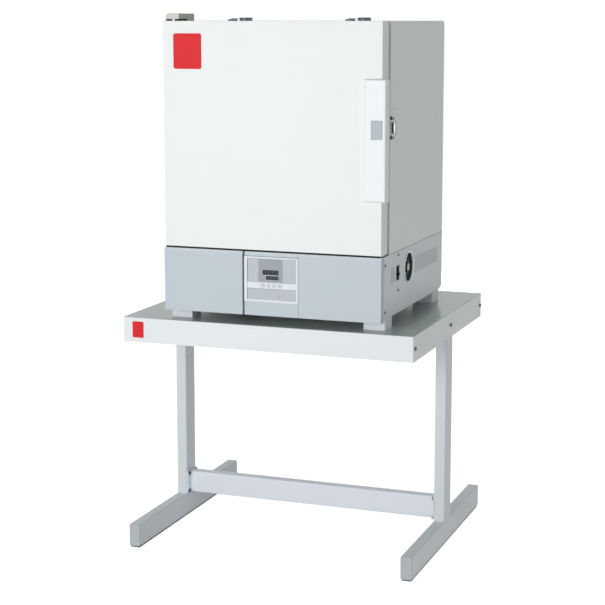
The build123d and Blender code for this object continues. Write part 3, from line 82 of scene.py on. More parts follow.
class Finish:
    # a material or world, with one way to add any node
    def __init__(self, name, owner=None):
        self.owner = owner or bpy.data.materials.new(name)
        self.owner.use_nodes = True
        self.tree = self.owner.node_tree
        self.shader = self.tree.nodes.get("Principled BSDF")

    def node(self, kind, settings=None, sockets=None, output=0):
        made = self.tree.nodes.new(kind)
        for name, value in (settings or {}).items():
            if name == "stops":
                ramp = made.color_ramp.elements
                while len(ramp) < len(value):
                    ramp.new(0.5)
                for element, (place, colour) in zip(ramp, value):
                    element.position = place
                    element.color = colour if isinstance(colour, list) else (colour, colour, colour, 1)
            else:
                setattr(made, name, value)
        for name, value in (sockets or {}).items():
            self.plug(made.inputs[name], value)
        return Wire(self, made.outputs[output])

    def plug(self, socket, value):
        if isinstance(value, Wire):
            self.tree.links.new(value.socket, socket)
        else:
            socket.default_value = value

    def feed(self, **values):
        for name, value in values.items():
            self.plug(self.shader.inputs[name.replace("_", " ")], value)
        return self.owner

    def place(self, scale=(1, 1, 1), turn=(0, 0, 0)):
        spot = self.node("ShaderNodeTexCoord", output="Object")
        return self.node("ShaderNodeMapping", None, {"Vector": spot, "Scale": scale, "Rotation": turn})

    def noise(self, spot, scale, detail=2.0, rough=0.5):
        return self.node("ShaderNodeTexNoise", None, {
            "Vector": spot, "Scale": scale, "Detail": detail, "Roughness": rough})

    def ramp(self, value, *stops):
        return self.node("ShaderNodeValToRGB", {"stops": stops}, {"Fac": value})

    def mix(self, factor, first, second):
        return self.node("ShaderNodeMix", {"data_type": "RGBA"}, {0: factor, 6: first, 7: second}, 2)

    def bump(self, height, strength, distance):
        return self.node("ShaderNodeBump", None, {
            "Height": height, "Strength": strength, "Distance": distance})

    def edges(self, radius):
        # 0 on flat areas, rising towards 1 at a sharp edge
        rounded = self.node("ShaderNodeBevel", {"samples": 4}, {"Radius": radius})
        flat = self.node("ShaderNodeNewGeometry", output="Normal")
        facing = self.node(
            "ShaderNodeVectorMath", {"operation": "DOT_PRODUCT"}, {0: rounded, 1: flat}, "Value")
        return self.ramp(1 - facing, (0.02, 0.0), (0.2, 1.0))

    def past(self, axis, level, blur=0.0002, source=None):
        # 0 below a level along X, Y or Z in metres, 1 above it
        spot = source or self.node("ShaderNodeTexCoord", output="Object")
        along = self.node("ShaderNodeSeparateXYZ", None, {"Vector": spot}, axis)
        return self.node("ShaderNodeMapRange", {"interpolation_type": "SMOOTHSTEP"}, {
            "Value": along, "From Min": level - blur, "From Max": level + blur})

    def upFacing(self, level, blur=0.1):
        return self.past("Z", level, blur, self.node("ShaderNodeNewGeometry", output="Normal"))


# Finishes
def enamel(name, colour, gloss, age=0.97, paintedTopLight=None, topGloss=0.0, shine=0.45):
    # stoved enamel: orange peel, faint clouding, wiped streaks, slightly thin paint at the edges;
    # paintedTopLight is painted light or painted shade on faces turned up
    peel, worn = 0.05, 0.9
    look = Finish(name)
    spot = look.place()
    cloud = look.ramp(look.noise(spot, 2.3, 3), (0.35, 0.0), (0.7, 1.0))
    wiped = look.ramp(look.noise(look.place((3, 3, 26), (0.2, 0.1, 0.3)), 3.1, 4), (0.45, 0.0), (0.75, 1.0))
    grains = look.ramp(look.noise(spot, 210, 3, 0.7), (0.66, 0.0), (0.74, 1.0))
    base = look.mix(cloud, colour, shade(colour, age))
    rough = wiped * 0.08 + grains * 0.1 + gloss
    # faces turned up take paintedTopLight: painted light or shade, by how the light falls on tops
    if paintedTopLight:
        top = look.upFacing(0.35)
        base = look.mix(top, base, paintedTopLight)
        rough = rough - top * topGloss
    base = look.mix(grains * 0.22, base, shade(colour, 0.8))
    base = look.mix(look.edges(0.0011) * 0.5, base, shade(colour, worn))
    skin = look.noise(spot, 420, 2)
    return look.feed(
        Base_Color=base, Roughness=rough, Normal=look.bump(skin, peel, 0.0006), Specular_IOR_Level=shine)


def rolledSteel(name, colour, grain=(6, 6, 320), gloss=0.24, spread=0.22, metal=1.0):
    # brushed or rolled metal: long fine grain, smears, brighter edges
    look = Finish(name)
    spot = look.place()
    lines = look.noise(look.place(grain), 2.4, 5, 0.65)
    smear = look.ramp(look.noise(spot, 7, 4), (0.4, 0.0), (0.72, 1.0))
    scratch = look.ramp(look.noise(look.place(grain, (0.3, 0.5, 0.2)), 6.0, 2), (0.68, 0.0), (0.75, 1.0))
    base = look.mix(lines, shade(colour, 0.86), colour)
    base = look.mix(smear * 0.3, base, shade(colour, 0.8))
    base = look.mix(look.edges(0.0008) * 0.6, base, shade(colour, 1.12))
    return look.feed(
        Base_Color=base, Metallic=metal, Roughness=lines * spread + smear * 0.1 + scratch * 0.12 + gloss,
        Normal=look.bump(lines + scratch * 0.6, 0.12, 0.0003))


def polishedChrome(name, colour, gloss=0.14, paintedTopLight=None):
    # mirror plating over small castings: faint finger haze and a few pits; paintedTopLight is a painted
    # reflection on faces turned up
    look = Finish(name)
    spot = look.place()
    haze = look.ramp(look.noise(spot, 60, 4), (0.42, 0.0), (0.75, 1.0))
    pits = look.ramp(look.noise(spot, 900, 2), (0.72, 0.0), (0.78, 1.0))
    base = look.mix(haze * 0.5, colour, shade(colour, 0.86))
    base = look.mix(look.edges(0.0006) * 0.5, base, shade(colour, 1.3))
    # a painted reflection: faces turned up take the pale paintedTopLight
    if paintedTopLight:
        base = look.mix(look.upFacing(0.8), base, paintedTopLight)
    return look.feed(
        Base_Color=base, Metallic=1.0, Roughness=haze * 0.12 + pits * 0.2 + gloss,
        Normal=look.bump(pits, 0.08, 0.0002))


def zincCoat(name, colour):
    # galvanised sheet: spangles of two greys, with dull patches
    flake = 70
    look = Finish(name)
    spot = look.place()
    spangle = look.node("ShaderNodeTexVoronoi", None, {"Vector": spot, "Scale": flake}, "Color")
    tone = look.node("ShaderNodeSeparateColor", None, {"Color": spangle})
    dull = look.ramp(look.noise(spot, 9, 5), (0.42, 0.0), (0.7, 1.0))
    base = look.mix(tone, shade(colour, 0.78), colour)
    base = look.mix(dull * 0.5, base, shade(colour, 0.66))
    return look.feed(
        Base_Color=base, Metallic=0.9, Roughness=tone * 0.16 + dull * 0.2 + 0.28,
        Normal=look.bump(tone + look.noise(spot, 600, 2) * 0.4, 0.12, 0.0004))


def mouldedPlastic(name, colour, gloss, grain=0.16, split=None, shine=0.45):
    # moulded plastic: spark grain, a cloudy tone, lighter rubbed edges
    # split is an axis, a level and the colour past it
    worn = 1.12
    look = Finish(name)
    spot = look.place()
    spark = look.noise(spot, 900, 3, 0.6)
    cloud = look.noise(spot, 14, 3)
    rubbed = look.edges(0.0007)
    base = look.mix(cloud, shade(colour, 0.93), shade(colour, 1.03))
    base = look.mix(rubbed * 0.5, base, shade(colour, worn))
    if split:
        axis, level, other = split
        base = look.mix(look.past(axis, level), base, look.mix(cloud, shade(other, 0.95), other))
    return look.feed(
        Base_Color=base, Roughness=spark * 0.14 + cloud * 0.06 + gloss,
        Normal=look.bump(spark, grain, 0.0003), Specular_IOR_Level=shine)


def softRubber(name, colour, chalk=1.5):
    look = Finish(name)
    spot = look.place()
    pores = look.noise(spot, 1300, 3, 0.7)
    bloom = look.ramp(look.noise(spot, 24, 5), (0.45, 0.0), (0.8, 1.0))
    base = look.mix(bloom * 0.5, colour, shade(colour, chalk))
    return look.feed(
        Base_Color=base, Roughness=bloom * 0.12 + 0.68, Normal=look.bump(pores, 0.25, 0.0004),
        Specular_IOR_Level=0.3)


def stoneWool(name, colour, binder):
    # matted fibres: crossing streaks, darker binder blotches
    look = Finish(name)
    spot = look.place()
    tangled = look.node("ShaderNodeTexNoise", None, {
        "Vector": spot, "Scale": 90, "Detail": 6.0, "Roughness": 0.75, "Distortion": 2.6})
    across = look.noise(look.place((18, 240, 60), (0.5, 0.9, 0.2)), 3.0, 4, 0.7)
    along = look.noise(look.place((260, 22, 80), (1.1, 0.3, 0.7)), 3.0, 4, 0.7)
    blotch = look.ramp(look.noise(spot, 11, 4), (0.42, 0.0), (0.72, 1.0))
    base = look.mix(tangled, shade(colour, 0.7), shade(colour, 1.15))
    base = look.mix(blotch * 0.45, base, binder)
    return look.feed(
        Base_Color=base, Roughness=0.95, Normal=look.bump(tangled + across + along, 0.8, 0.0016),
        Specular_IOR_Level=0.1)


def circuitBoard(name, mask, copper):
    # green solder mask with rows of tracks and a sprinkle of pads
    look = Finish(name)
    spot = look.place()
    tracks = look.node("ShaderNodeTexBrick", {"offset": 0.37, "squash": 2.2}, {
        "Vector": look.place((1, 1, 1), (1.5708, 0, 0)), "Color1": mask, "Color2": shade(mask, 0.85),
        "Mortar": copper, "Scale": 160.0, "Mortar Size": 0.012}, "Color")
    pads = look.node("ShaderNodeTexVoronoi", None, {"Vector": spot, "Scale": 210.0}, "Distance")
    dots = look.ramp(pads, (0.12, 1.0), (0.17, 0.0))
    base = look.mix(dots * 0.9, tracks, copper)
    return look.feed(
        Base_Color=base, Metallic=dots * 0.6, Roughness=look.noise(spot, 80, 2) * 0.1 + 0.3,
        Normal=look.bump(dots, 0.3, 0.0002))


def smokedWindow(name, colour):
    # dark tinted acrylic with hairline scratches
    look = Finish(name)
    spot = look.place()
    hair = look.ramp(look.noise(look.place((5, 60, 400), (0.2, 0.1, 0.4)), 5, 3), (0.6, 0.0), (0.75, 1.0))
    depth = look.noise(spot, 40, 2)
    return look.feed(
        Base_Color=look.mix(depth, colour, shade(colour, 1.4)), Roughness=hair * 0.12 + 0.3,
        Normal=look.bump(hair, 0.05, 0.0001), Specular_IOR_Level=0.2)


def firedEnamel(name, colour, pale, paleFrom, lines):
    # vitreous colour, darker where it pools at the rim
    # past paleFrom along X the plate is pale and lined
    look = Finish(name)
    spot = look.place()
    pool = look.edges(0.0016)
    cloud = look.noise(spot, 26, 3)
    specks = look.ramp(look.noise(spot, 700, 2), (0.7, 0.0), (0.78, 1.0))
    base = look.mix(cloud, colour, shade(colour, 0.94))
    base = look.mix(pool * 0.4 + specks * 0.15, base, shade(colour, 0.75))
    ruled = 0
    for start, end in lines:
        ruled = look.past("Y", start) - look.past("Y", end) + ruled
    label = look.mix(ruled * 0.8, look.mix(cloud, pale, shade(pale, 0.96)), shade(pale, 0.62))
    base = look.mix(look.past("X", paleFrom), base, label)
    return look.feed(
        Base_Color=base, Roughness=cloud * 0.06 + specks * 0.1 + 0.4,
        Normal=look.bump(look.noise(spot, 300, 2), 0.05, 0.0005), Specular_IOR_Level=0.2)


def printedInk(name, colour):
    look = Finish(name)
    spot = look.place()
    weave = look.noise(spot, 1500, 2)
    fade = look.noise(spot, 120, 3)
    return look.feed(
        Base_Color=look.mix(fade, colour, shade(colour, 1.12)), Roughness=weave * 0.1 + 0.5,
        Normal=look.bump(weave, 0.1, 0.0001))


def heatedTube(name, colour, straw):
    # heater sheath: heat tints in bands along a dull nickel alloy
    look = Finish(name)
    spot = look.place()
    heat = look.ramp(look.noise(look.place((3, 14, 3)), 2.2, 3), (0.35, shade(colour, 0.9)), (0.5, straw),
                     (0.62, tint(92, 84, 110)), (0.75, colour))
    soot = look.noise(spot, 160, 4)
    return look.feed(
        Base_Color=heat, Metallic=0.85, Roughness=soot * 0.3 + 0.3, Normal=look.bump(soot, 0.25, 0.0003))


doorWhite = enamel("doorWhiteEnamel", tint(240, 243, 244), 0.36)
casingWhite = enamel("casingWhiteEnamel", tint(236, 241, 241), 0.36)
handleWhite = enamel("handleWhiteEnamel", tint(243, 246, 248), 0.32)
baseSideWhite = enamel("baseSideEnamel", tint(224, 230, 233), 0.38)
# the panel's up-facing top bevel is painted near white: a painted highlight
panelGrey = enamel("panelGreyEnamel", tint(194, 204, 212), 0.4, age=0.965, paintedTopLight=tint(228, 236, 241))
# the table's top faces are painted darker than its apron: painted shade, with less gloss there
tableWhite = enamel(
    "tableTopEnamel", tint(239, 243, 245), 0.3, paintedTopLight=tint(178, 190, 188), topGloss=0.1, shine=0.22)
legGrey = enamel("standTubeEnamel", tint(223, 229, 233), 0.36)
# the crossbar has the posts' paint, painted lighter: painted light on a part that sits in the table's shade
barGreyPaintedLight = enamel("crossbarEnamelPaintedLight", tint(236, 241, 248), 0.36)
railGrey = enamel("railEnamel", tint(214, 219, 224), 0.45)
bezelWhite = mouldedPlastic("bezelPlastic", tint(236, 240, 246), 0.4)
filmGrey = mouldedPlastic("panelFilm", tint(194, 200, 209), 0.42, 0.08)
fieldGrey = mouldedPlastic("displayFieldFilm", tint(158, 165, 174), 0.42, 0.08)
footWhite = mouldedPlastic("footPlastic", tint(232, 235, 243), 0.4)
capGrey = mouldedPlastic("capPlastic", tint(189, 195, 198), 0.45)
buttonGrey = mouldedPlastic("buttonPlastic", tint(188, 198, 204), 0.45)
keyWhite = mouldedPlastic("keyPlastic", tint(226, 231, 237), 0.42)
switchBlack = mouldedPlastic("switchPlastic", tint(20, 32, 31), 0.5, shine=0.12)
dialParts = mouldedPlastic(
    "dialPlastic", tint(150, 174, 170), 0.4, split=("X", 0.2984, tint(8, 9, 10)), shine=0.2)
dishParts = mouldedPlastic(
    "dishPlastic", tint(28, 50, 50), 0.5, split=("X", 0.3040, tint(248, 252, 252)), shine=0.12)
stainless = rolledSteel("stainlessSheet", tint(206, 206, 202))
brightWire = rolledSteel("brightShelfWire", tint(216, 216, 214), (40, 40, 40), 0.18, 0.14)
hingeSatin = rolledSteel("hingeSatin", tint(192, 195, 187), (8, 8, 90), 0.36, 0.16, 0.2)
bronze = rolledSteel("oiledBronze", tint(72, 66, 56), (70, 70, 70), 0.4, 0.2)
# dark steel hinge arms, kept dark so the slot under the hinge cover reads black: partly painted shade
armSteelAndShade = rolledSteel("hingeArmSteelAndShade", tint(58, 62, 60), (30, 30, 30), 0.4, 0.2)
# the lids' up-facing tops are painted pale: a painted reflection
darkChrome = polishedChrome("exhaustChrome", tint(64, 70, 78), 0.26, tint(206, 212, 208))
brightSteel = polishedChrome("brightSteel", tint(224, 231, 231), 0.2)
ringSilver = polishedChrome("ringSilver", tint(206, 213, 210), 0.34)
capSilver = polishedChrome("knobCapSilver", tint(138, 146, 144), 0.3)
screwSteel = rolledSteel("screwSteel", tint(74, 84, 82), (50, 50, 50), 0.4, 0.2, 0.6)
boltSteel = rolledSteel("boltSteel", tint(96, 98, 100), (50, 50, 50), 0.36, 0.2)
zincSheet = zincCoat("zincSheet", tint(186, 190, 192))
blackRubber = softRubber("blackRubber", tint(44, 45, 46))
# black for the latch studs, and painted shade for the strips in the gap under the door and on the latch
# lever
blackFoamAndShade = softRubber("blackFoamAndShade", tint(8, 10, 10), 1.2)
# grey strips that paint the shade in the bezel's top seam and the casing-to-base joint
seamShadeGrey = softRubber("seamShadeStrip", tint(118, 124, 124), 1.1)
sealSilicone = softRubber("sealSilicone", tint(150, 146, 140), 1.25)
wool = stoneWool("stoneWool", tint(176, 166, 132), tint(124, 108, 72))
board = circuitBoard("circuitBoard", tint(24, 84, 52), tint(196, 148, 86))
smoked = smokedWindow("smokedWindow", tint(2, 14, 22))
plateEnamel = firedEnamel(
    "plateEnamel", tint(232, 26, 36), tint(214, 220, 220), 0.1, [(-0.2494, -0.2444), (-0.2340, -0.2290)])
leverPlastic = mouldedPlastic(
    "leverPlastic", tint(176, 186, 180), 0.45, split=("Y", -0.2790, tint(226, 232, 232)))
heater = heatedTube("heaterSheath", tint(150, 146, 138), tint(170, 138, 82))
# grey print on the keys and knob, and painted shade along the film edges
printAndShadeGrey = printedInk("greyPrintAndShade", tint(140, 148, 158))
printLine = printedInk("lineFilm", tint(206, 212, 219))
printPale = printedInk("palePrint", tint(214, 224, 228))
digitGrey = printedInk("unlitSegments", tint(58, 82, 88))
lampGrey = mouldedPlastic("lampLens", tint(150, 156, 164), 0.25, 0.05)
print("finishes made")

wardrobe = {
    "tableWhite": (tableWhite, ["stand_top"]),
    "legs": (legGrey, ["stand_post_left", "stand_post_right", "stand_foot_left", "stand_foot_right"]),
    "crossbar": (barGreyPaintedLight, ["stand_crossbar"]),
    "rails": (railGrey, ["stand_rails"]),
    "caps": (capGrey, ["stand_end_caps"]),
    "glides": (blackRubber, ["stand_glides"]),
    "bolts": (boltSteel, ["stand_fasteners"]),
    "plates": (plateEnamel, ["door_plate", "blank_plates"]),
    "feet": (footWhite, ["oven_feet"]),
    "chassis": (zincSheet, ["base_chassis", "intake_duct"]),
    "baseSides": (baseSideWhite, ["base_side_left", "base_side_right"]),
    "front": (panelGrey, ["lower_front_left", "lower_front_center", "lower_front_right"]),
    "bezel": (bezelWhite, ["control_bezel"]),
    "windows": (smoked, ["display_windows"]),
    "keys": (keyWhite, ["key_left", "key_mid_left", "key_mid_right", "key_right"]),
    "electronics": (board, ["control_electronics"]),
    "dish": (dishParts, ["intake_dish"]),
    "dial": (dialParts, ["intake_dial"]),
    "breaker": (switchBlack, ["breaker_body", "breaker_toggle", "cable_gland"]),
    "casing": (casingWhite, [
        "rear_cover", "casing_side_left", "casing_side_right", "casing_top", "front_frame", "latch_keeper"]),
    "inside": (stainless, ["chamber_liner", "chamber_floor_plate", "shelf_supports", "door_inner_panel"]),
    "wool": (wool, ["chamber_insulation", "door_insulation"]),
    "heater": (heater, ["heater_element"]),
    "shelves": (brightWire, ["shelf_lower", "shelf_upper", "chamber_probe"]),
    "exhausts": (darkChrome, ["exhaust_collars", "exhaust_lid_left", "exhaust_lid_right"]),
    "door": (doorWhite, ["door_outer_panel"]),
    "seal": (sealSilicone, ["door_gasket"]),
    "bushes": (bronze, ["hinge_bushes"]),
    "hingeArms": (armSteelAndShade, ["hinge_brackets"]),
    "hingeCover": (hingeSatin, ["top_hinge_cover"]),
    "handle": (handleWhite, ["door_handle"]),
    "button": (buttonGrey, ["latch_button"]),
    "latch": (leverPlastic, ["latch_lever"]),
    "screws": (screwSteel, ["panel_screws"]),
}

for finish, names in wardrobe.values():
    for name in names:
        for slot in nodes[name].material_slots:
            slot.material = finish
undressed = set(nodes) - {name for _, names in wardrobe.values() for name in names}
print("nodes dressed, left over:", undressed)


# Modelling helpers
facingFront = (math.radians(90), 0, 0)      # a rod's end towards the front
facingRight = (0, math.radians(90), 0)      # a rod's end towards the right side
cutReach = 0.01      # how far a cutter goes, more than any piece here is thick


def oneAlone(piece):
    bpy.ops.object.select_all(action="DESELECT")
    piece.select_set(True)
    bpy.context.view_layer.objects.active = piece


def settle(piece):
    # place, turn and size go into the mesh
    oneAlone(piece)
    bpy.ops.object.transform_apply(location=True, rotation=True, scale=True)
    return piece


def useModifier(piece, kind, **settings):
    oneAlone(piece)
    modifier = piece.modifiers.new(kind.title(), kind)
    for name, value in settings.items():
        setattr(modifier, name, value)
    bpy.ops.object.modifier_apply(modifier=modifier.name)
    return piece


def soften(piece, width, segments=2, angle=30):
    return useModifier(piece, "BEVEL", width=width, segments=segments, limit_method="ANGLE",
                       angle_limit=math.radians(angle))


def slab(name, low, high):
    # a block between two corners, in metres
    size = [b - a for a, b in zip(low, high)]
    middle = [(a + b) / 2 for a, b in zip(low, high)]
    bpy.ops.object.select_all(action="DESELECT")
    bpy.ops.mesh.primitive_cube_add(size=1, location=middle)
    piece = bpy.context.object
    piece.name = name
    piece.scale = size
    return settle(piece)


def rod(name, radius, depth, location, rotation=(0, 0, 0), sides=32):
    bpy.ops.object.select_all(action="DESELECT")
    bpy.ops.mesh.primitive_cylinder_add(
        vertices=sides, radius=radius, depth=depth, location=location, rotation=rotation)
    piece = bpy.context.object
    piece.name = name
    return settle(piece)


def hoop(name, wide, deep, corner, thick, middle, turn, flat):
    # a round bar bent round a rectangle with rounded corners, pressed flat by a share of its thickness
    bpy.ops.object.select_all(action="DESELECT")
    bpy.ops.mesh.primitive_plane_add(size=1)
    piece = bpy.context.object
    piece.name = name
    piece.scale = (wide, deep, 1)
    settle(piece)
    bpy.ops.object.mode_set(mode="EDIT")
    bpy.ops.mesh.select_all(action="SELECT")
    bpy.ops.mesh.bevel(affect="VERTICES", offset=corner, segments=8)
    bpy.ops.mesh.select_all(action="SELECT")
    bpy.ops.mesh.delete(type="ONLY_FACE")
    bpy.ops.object.mode_set(mode="OBJECT")
    bpy.ops.object.convert(target="CURVE")
    piece = bpy.context.object
    piece.data.bevel_depth = thick
    piece.data.bevel_resolution = 4
    bpy.ops.object.convert(target="MESH")
    piece = bpy.context.object
    piece.scale = (1, 1, flat)
    piece.rotation_euler = turn
    piece.location = middle
    return settle(piece)


def carve(piece, cutter):
    useModifier(piece, "BOOLEAN", operation="DIFFERENCE", solver="EXACT", object=cutter)
    bpy.data.objects.remove(cutter)
    return piece


def together(name, parts):
    bpy.ops.object.select_all(action="DESELECT")
    for part in parts:
        part.select_set(True)
    bpy.context.view_layer.objects.active = parts[0]
    if len(parts) > 1:
        bpy.ops.object.join()
    piece = bpy.context.object
    piece.name = name
    return piece


def finishPiece(piece, finish, body, angle=35):
    piece.data.materials.clear()
    piece.data.materials.append(finish)
    oneAlone(piece)
    bpy.ops.object.shade_smooth_by_angle(angle=math.radians(angle))
    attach(piece, body)
    return piece


# Control panel: films, display field, rims, painted shade along the film edges and in the bezel's top seam,
# unlit digits and a lamp
panel = {
    "face": -0.3294,          # front of the panel plate
    "wellX": (-0.0460, 0.0848),
    "wellZ": (0.6886, 0.7921),
    "stripZ": (0.7164, 0.7319),
    "filmGap": 0.0003,
    "filmThickness": 0.0002,
    "fieldX": (-0.0162, 0.0489),
    "fieldThickness": 0.00035,
    "displays": [((-0.0053, 0.0383), (0.7511, 0.7640)), ((0.0036, 0.0383), (0.7386, 0.7491))],
    "rim": 0.0007,
    "rimProud": 0.0004,
    "rimRounding": 0.00015,
    "windowFace": -0.3291,
    "linesX": (-0.0366, -0.0244, 0.0532, 0.0666),
    "lineWidth": 0.0004,
    "filmEdgeShade": 0.0012,
    "seam": 0.0012,
    "seamY": (-0.0002, 0.0004),      # from the front panel's face
    "seamRounding": 0.0001,
    "lampX": 0.0410,
    "lampZ": 0.6998,
    "lampRadius": 0.0016,
    "lampDepth": 0.0008,
    "lampRounding": 0.0003,
    "printThickness": 0.0001,
    "printEdge": 0.00004,     # rounding of the printed lines and borders
    "lineMargin": 0.001,
}


def sheetOnPanel(name, spanX, spanZ, thickness):
    # a thin film stuck on the panel plate, cut out round the displays
    front, back = panel["face"] - thickness, panel["face"]
    film = slab(name, (spanX[0], front, spanZ[0]), (spanX[1], back, spanZ[1]))
    for (left, right), (low, high) in panel["displays"]:
        if spanZ[0] < low and high < spanZ[1]:
            carve(film, slab("cutter", (left, front - cutReach, low), (right, back + cutReach, high)))
    return soften(film, 2 * panel["printEdge"], 1)


gap = panel["filmGap"]
filmX = (panel["wellX"][0] + gap, panel["wellX"][1] - gap)
above = (panel["stripZ"][1] + gap, panel["wellZ"][1] - gap)
below = (panel["wellZ"][0] + gap, panel["stripZ"][0] - gap)
films = [sheetOnPanel("film", filmX, span, panel["filmThickness"]) for span in (above, below)]
finishPiece(together("panelFilm", films), filmGrey, "oven_and_stand")
field = sheetOnPanel("displayField", panel["fieldX"], above, panel["fieldThickness"])
finishPiece(field, fieldGrey, "oven_and_stand")

rims = []
fieldFront = panel["face"] - panel["fieldThickness"]
for (left, right), (low, high) in panel["displays"]:
    wide = panel["rim"]
    rim = slab("rim", (left - wide, fieldFront - panel["rimProud"], low - wide),
               (right + wide, fieldFront, high + wide))
    carve(rim, slab("cutter", (left, fieldFront - cutReach, low), (right, fieldFront + cutReach, high)))
    rims.append(soften(rim, panel["rimRounding"], 2))
finishPiece(together("displayRims", rims), printPale, "oven_and_stand")

lines = []
filmFront = panel["face"] - panel["filmThickness"]
printFront = filmFront - panel["printThickness"]
lineZ = (above[0] + panel["lineMargin"], above[1] - panel["lineMargin"])
for x in panel["linesX"]:
    half = panel["lineWidth"] / 2
    line = slab("line", (x - half, printFront, lineZ[0]), (x + half, filmFront, lineZ[1]))
    lines.append(soften(line, panel["printEdge"], 2))
finishPiece(together("panelLines", lines), printLine, "oven_and_stand")

# dark lines round the film edges: painted shade along them
edgeShadeLines = []
inset = panel["filmEdgeShade"]
for low, high in (above, below):
    filmEdgeShade = slab("filmEdgeShade", (filmX[0], printFront, low), (filmX[1], filmFront, high))
    carve(filmEdgeShade, slab("cutter", (filmX[0] + inset, filmFront - cutReach, low + inset),
                       (filmX[1] - inset, filmFront + cutReach, high - inset)))
    edgeShadeLines.append(soften(filmEdgeShade, panel["printEdge"], 1))
finishPiece(together("filmEdgeShades", edgeShadeLines), printAndShadeGrey, "oven_and_stand")

plateLow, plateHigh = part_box("control_bezel")
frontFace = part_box("lower_front_center")[0][1]
seamY = [frontFace + depth for depth in panel["seamY"]]
# a grey strip along the bezel's top edge: painted shade in the seam
seam = slab("bezelSeamShade", (plateLow[0], seamY[0], plateHigh[2]),
            (plateHigh[0], seamY[1], plateHigh[2] + panel["seam"]))
soften(seam, panel["seamRounding"], 1)
finishPiece(seam, seamShadeGrey, "oven_and_stand")

panelLamp = rod("panelLamp", panel["lampRadius"], panel["lampDepth"],
                (panel["lampX"], filmFront, panel["lampZ"]), facingFront, 24)
soften(panelLamp, panel["lampRounding"], 3)
finishPiece(panelLamp, lampGrey, "oven_and_stand")

digits = {
    # from x, to x, z, height
    "rows": [(-0.0010, 0.0372, 0.75755, 0.0084), (0.0062, 0.0376, 0.74385, 0.0066)],
    "count": 4,
    "thickness": 0.0009,
    "proud": 0.0001,
    "width": 0.5,             # shares of the height: a digit's width and half its height
    "halfHeight": 0.42,
    "flatBar": 0.74,          # share of the width
    "uprightBar": 0.7,        # share of half the height
}


def segment(x, z, length, upright):
    # one bar of a seven-segment digit
    thick = digits["thickness"]
    size = (thick, length) if upright else (length, thick)
    face = panel["windowFace"]
    return slab("segment", (x - size[0] / 2, face - digits["proud"], z - size[1] / 2),
                (x + size[0] / 2, face, z + size[1] / 2))


bars = []
for left, right, z, height in digits["rows"]:
    pitch = (right - left) / digits["count"]
    wide, tall = height * digits["width"], height * digits["halfHeight"]
    for number in range(digits["count"]):
        x = left + (number + 0.5) * pitch
        for rise in (-tall, 0, tall):
            bars.append(segment(x, z + rise, wide * digits["flatBar"], False))
        for across in (-wide / 2, wide / 2):
            for rise in (-tall / 2, tall / 2):
                bars.append(segment(x + across, z + rise, tall * digits["uprightBar"], True))
finishPiece(together("displayDigits", bars), digitGrey, "oven_and_stand")
print("control panel made")

# Marks on the four keys: a ring and a plain shape
keyMarks = {
    "face": -0.3310,
    "centers": {"key_left": -0.0044, "key_mid_left": 0.0108, "key_mid_right": 0.0260, "key_right": 0.0412},
    "z": 0.72415,
    "ring": 0.0042,
    "line": 0.0004,
    "sides": {"key_left": 4, "key_mid_left": 3, "key_mid_right": 3, "key_right": 24},
    "turn": {"key_left": 45, "key_mid_left": -90, "key_mid_right": 90, "key_right": 0},
    "markRadius": 0.0019,
    "proud": 0.00012,
}

for name, x in keyMarks["centers"].items():
    place = (x, keyMarks["face"] - keyMarks["proud"] / 2, keyMarks["z"])
    ring = rod("ring", keyMarks["ring"], keyMarks["proud"], place, facingFront, 48)
    carve(ring, rod("cutter", keyMarks["ring"] - keyMarks["line"], cutReach, place, facingFront, 48))
    turned = (math.radians(90), math.radians(-keyMarks["turn"][name] + 90), 0)
    sides = keyMarks["sides"][name]
    mark = rod("mark", keyMarks["markRadius"], keyMarks["proud"], place, turned, sides)
    carve(mark, rod("cutter", keyMarks["markRadius"] - 2 * keyMarks["line"], cutReach, place, turned, sides))
    finishPiece(together(f"{name}_mark", [ring, mark]), printAndShadeGrey, name)
print("key marks made")

# Black foam strips on the deck and along the door's bottom, and grey strips along the joint of casing and
# base: painted shade in these gaps
joint = {
    "front": -0.3257,
    "inset": 0.0012,
    "deckShadeHeight": 0.0030,
    "deckShadeBack": 0.0004,       # clear of the front frame
    "sweepShadeDepth": 0.01,
    "seamShadeEnds": 0.001,
    "deckShadeRounding": 0.0006,
    "sweepShadeRounding": 0.0001,
    "seamShadeRounding": 0.0003,
    "sweepShadeHeight": 0.0014,
    "sweepShadeProud": 0.0002,
    "seamShadeProud": 0.0006,
    "seamShadeHeight": 0.0009,
}

doorLow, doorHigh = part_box("door_outer_panel")
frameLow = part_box("front_frame")[0]
deck = frameLow[2]
# black foam on the deck: painted shade that darkens the gap under the door
deckShade = slab("deckShadeStrip", (doorLow[0] + joint["inset"], joint["front"], deck),
            (doorHigh[0] - joint["inset"], frameLow[1] - joint["deckShadeBack"], deck + joint["deckShadeHeight"]))
soften(deckShade, joint["deckShadeRounding"], 3)
finishPiece(deckShade, blackFoamAndShade, "oven_and_stand")

# a black strip along the door's bottom edge: painted shade that thickens the dark line under the door
sweepShadeTop = doorLow[2] + joint["sweepShadeHeight"]
sweepShade = slab("doorSweepShade", (doorLow[0] + joint["inset"], doorLow[1] - joint["sweepShadeProud"], doorLow[2]),
             (doorHigh[0] - joint["inset"], doorLow[1] + joint["sweepShadeDepth"], sweepShadeTop))
soften(sweepShade, joint["sweepShadeRounding"], 2)
finishPiece(sweepShade, blackFoamAndShade, "door")

seamShades = []
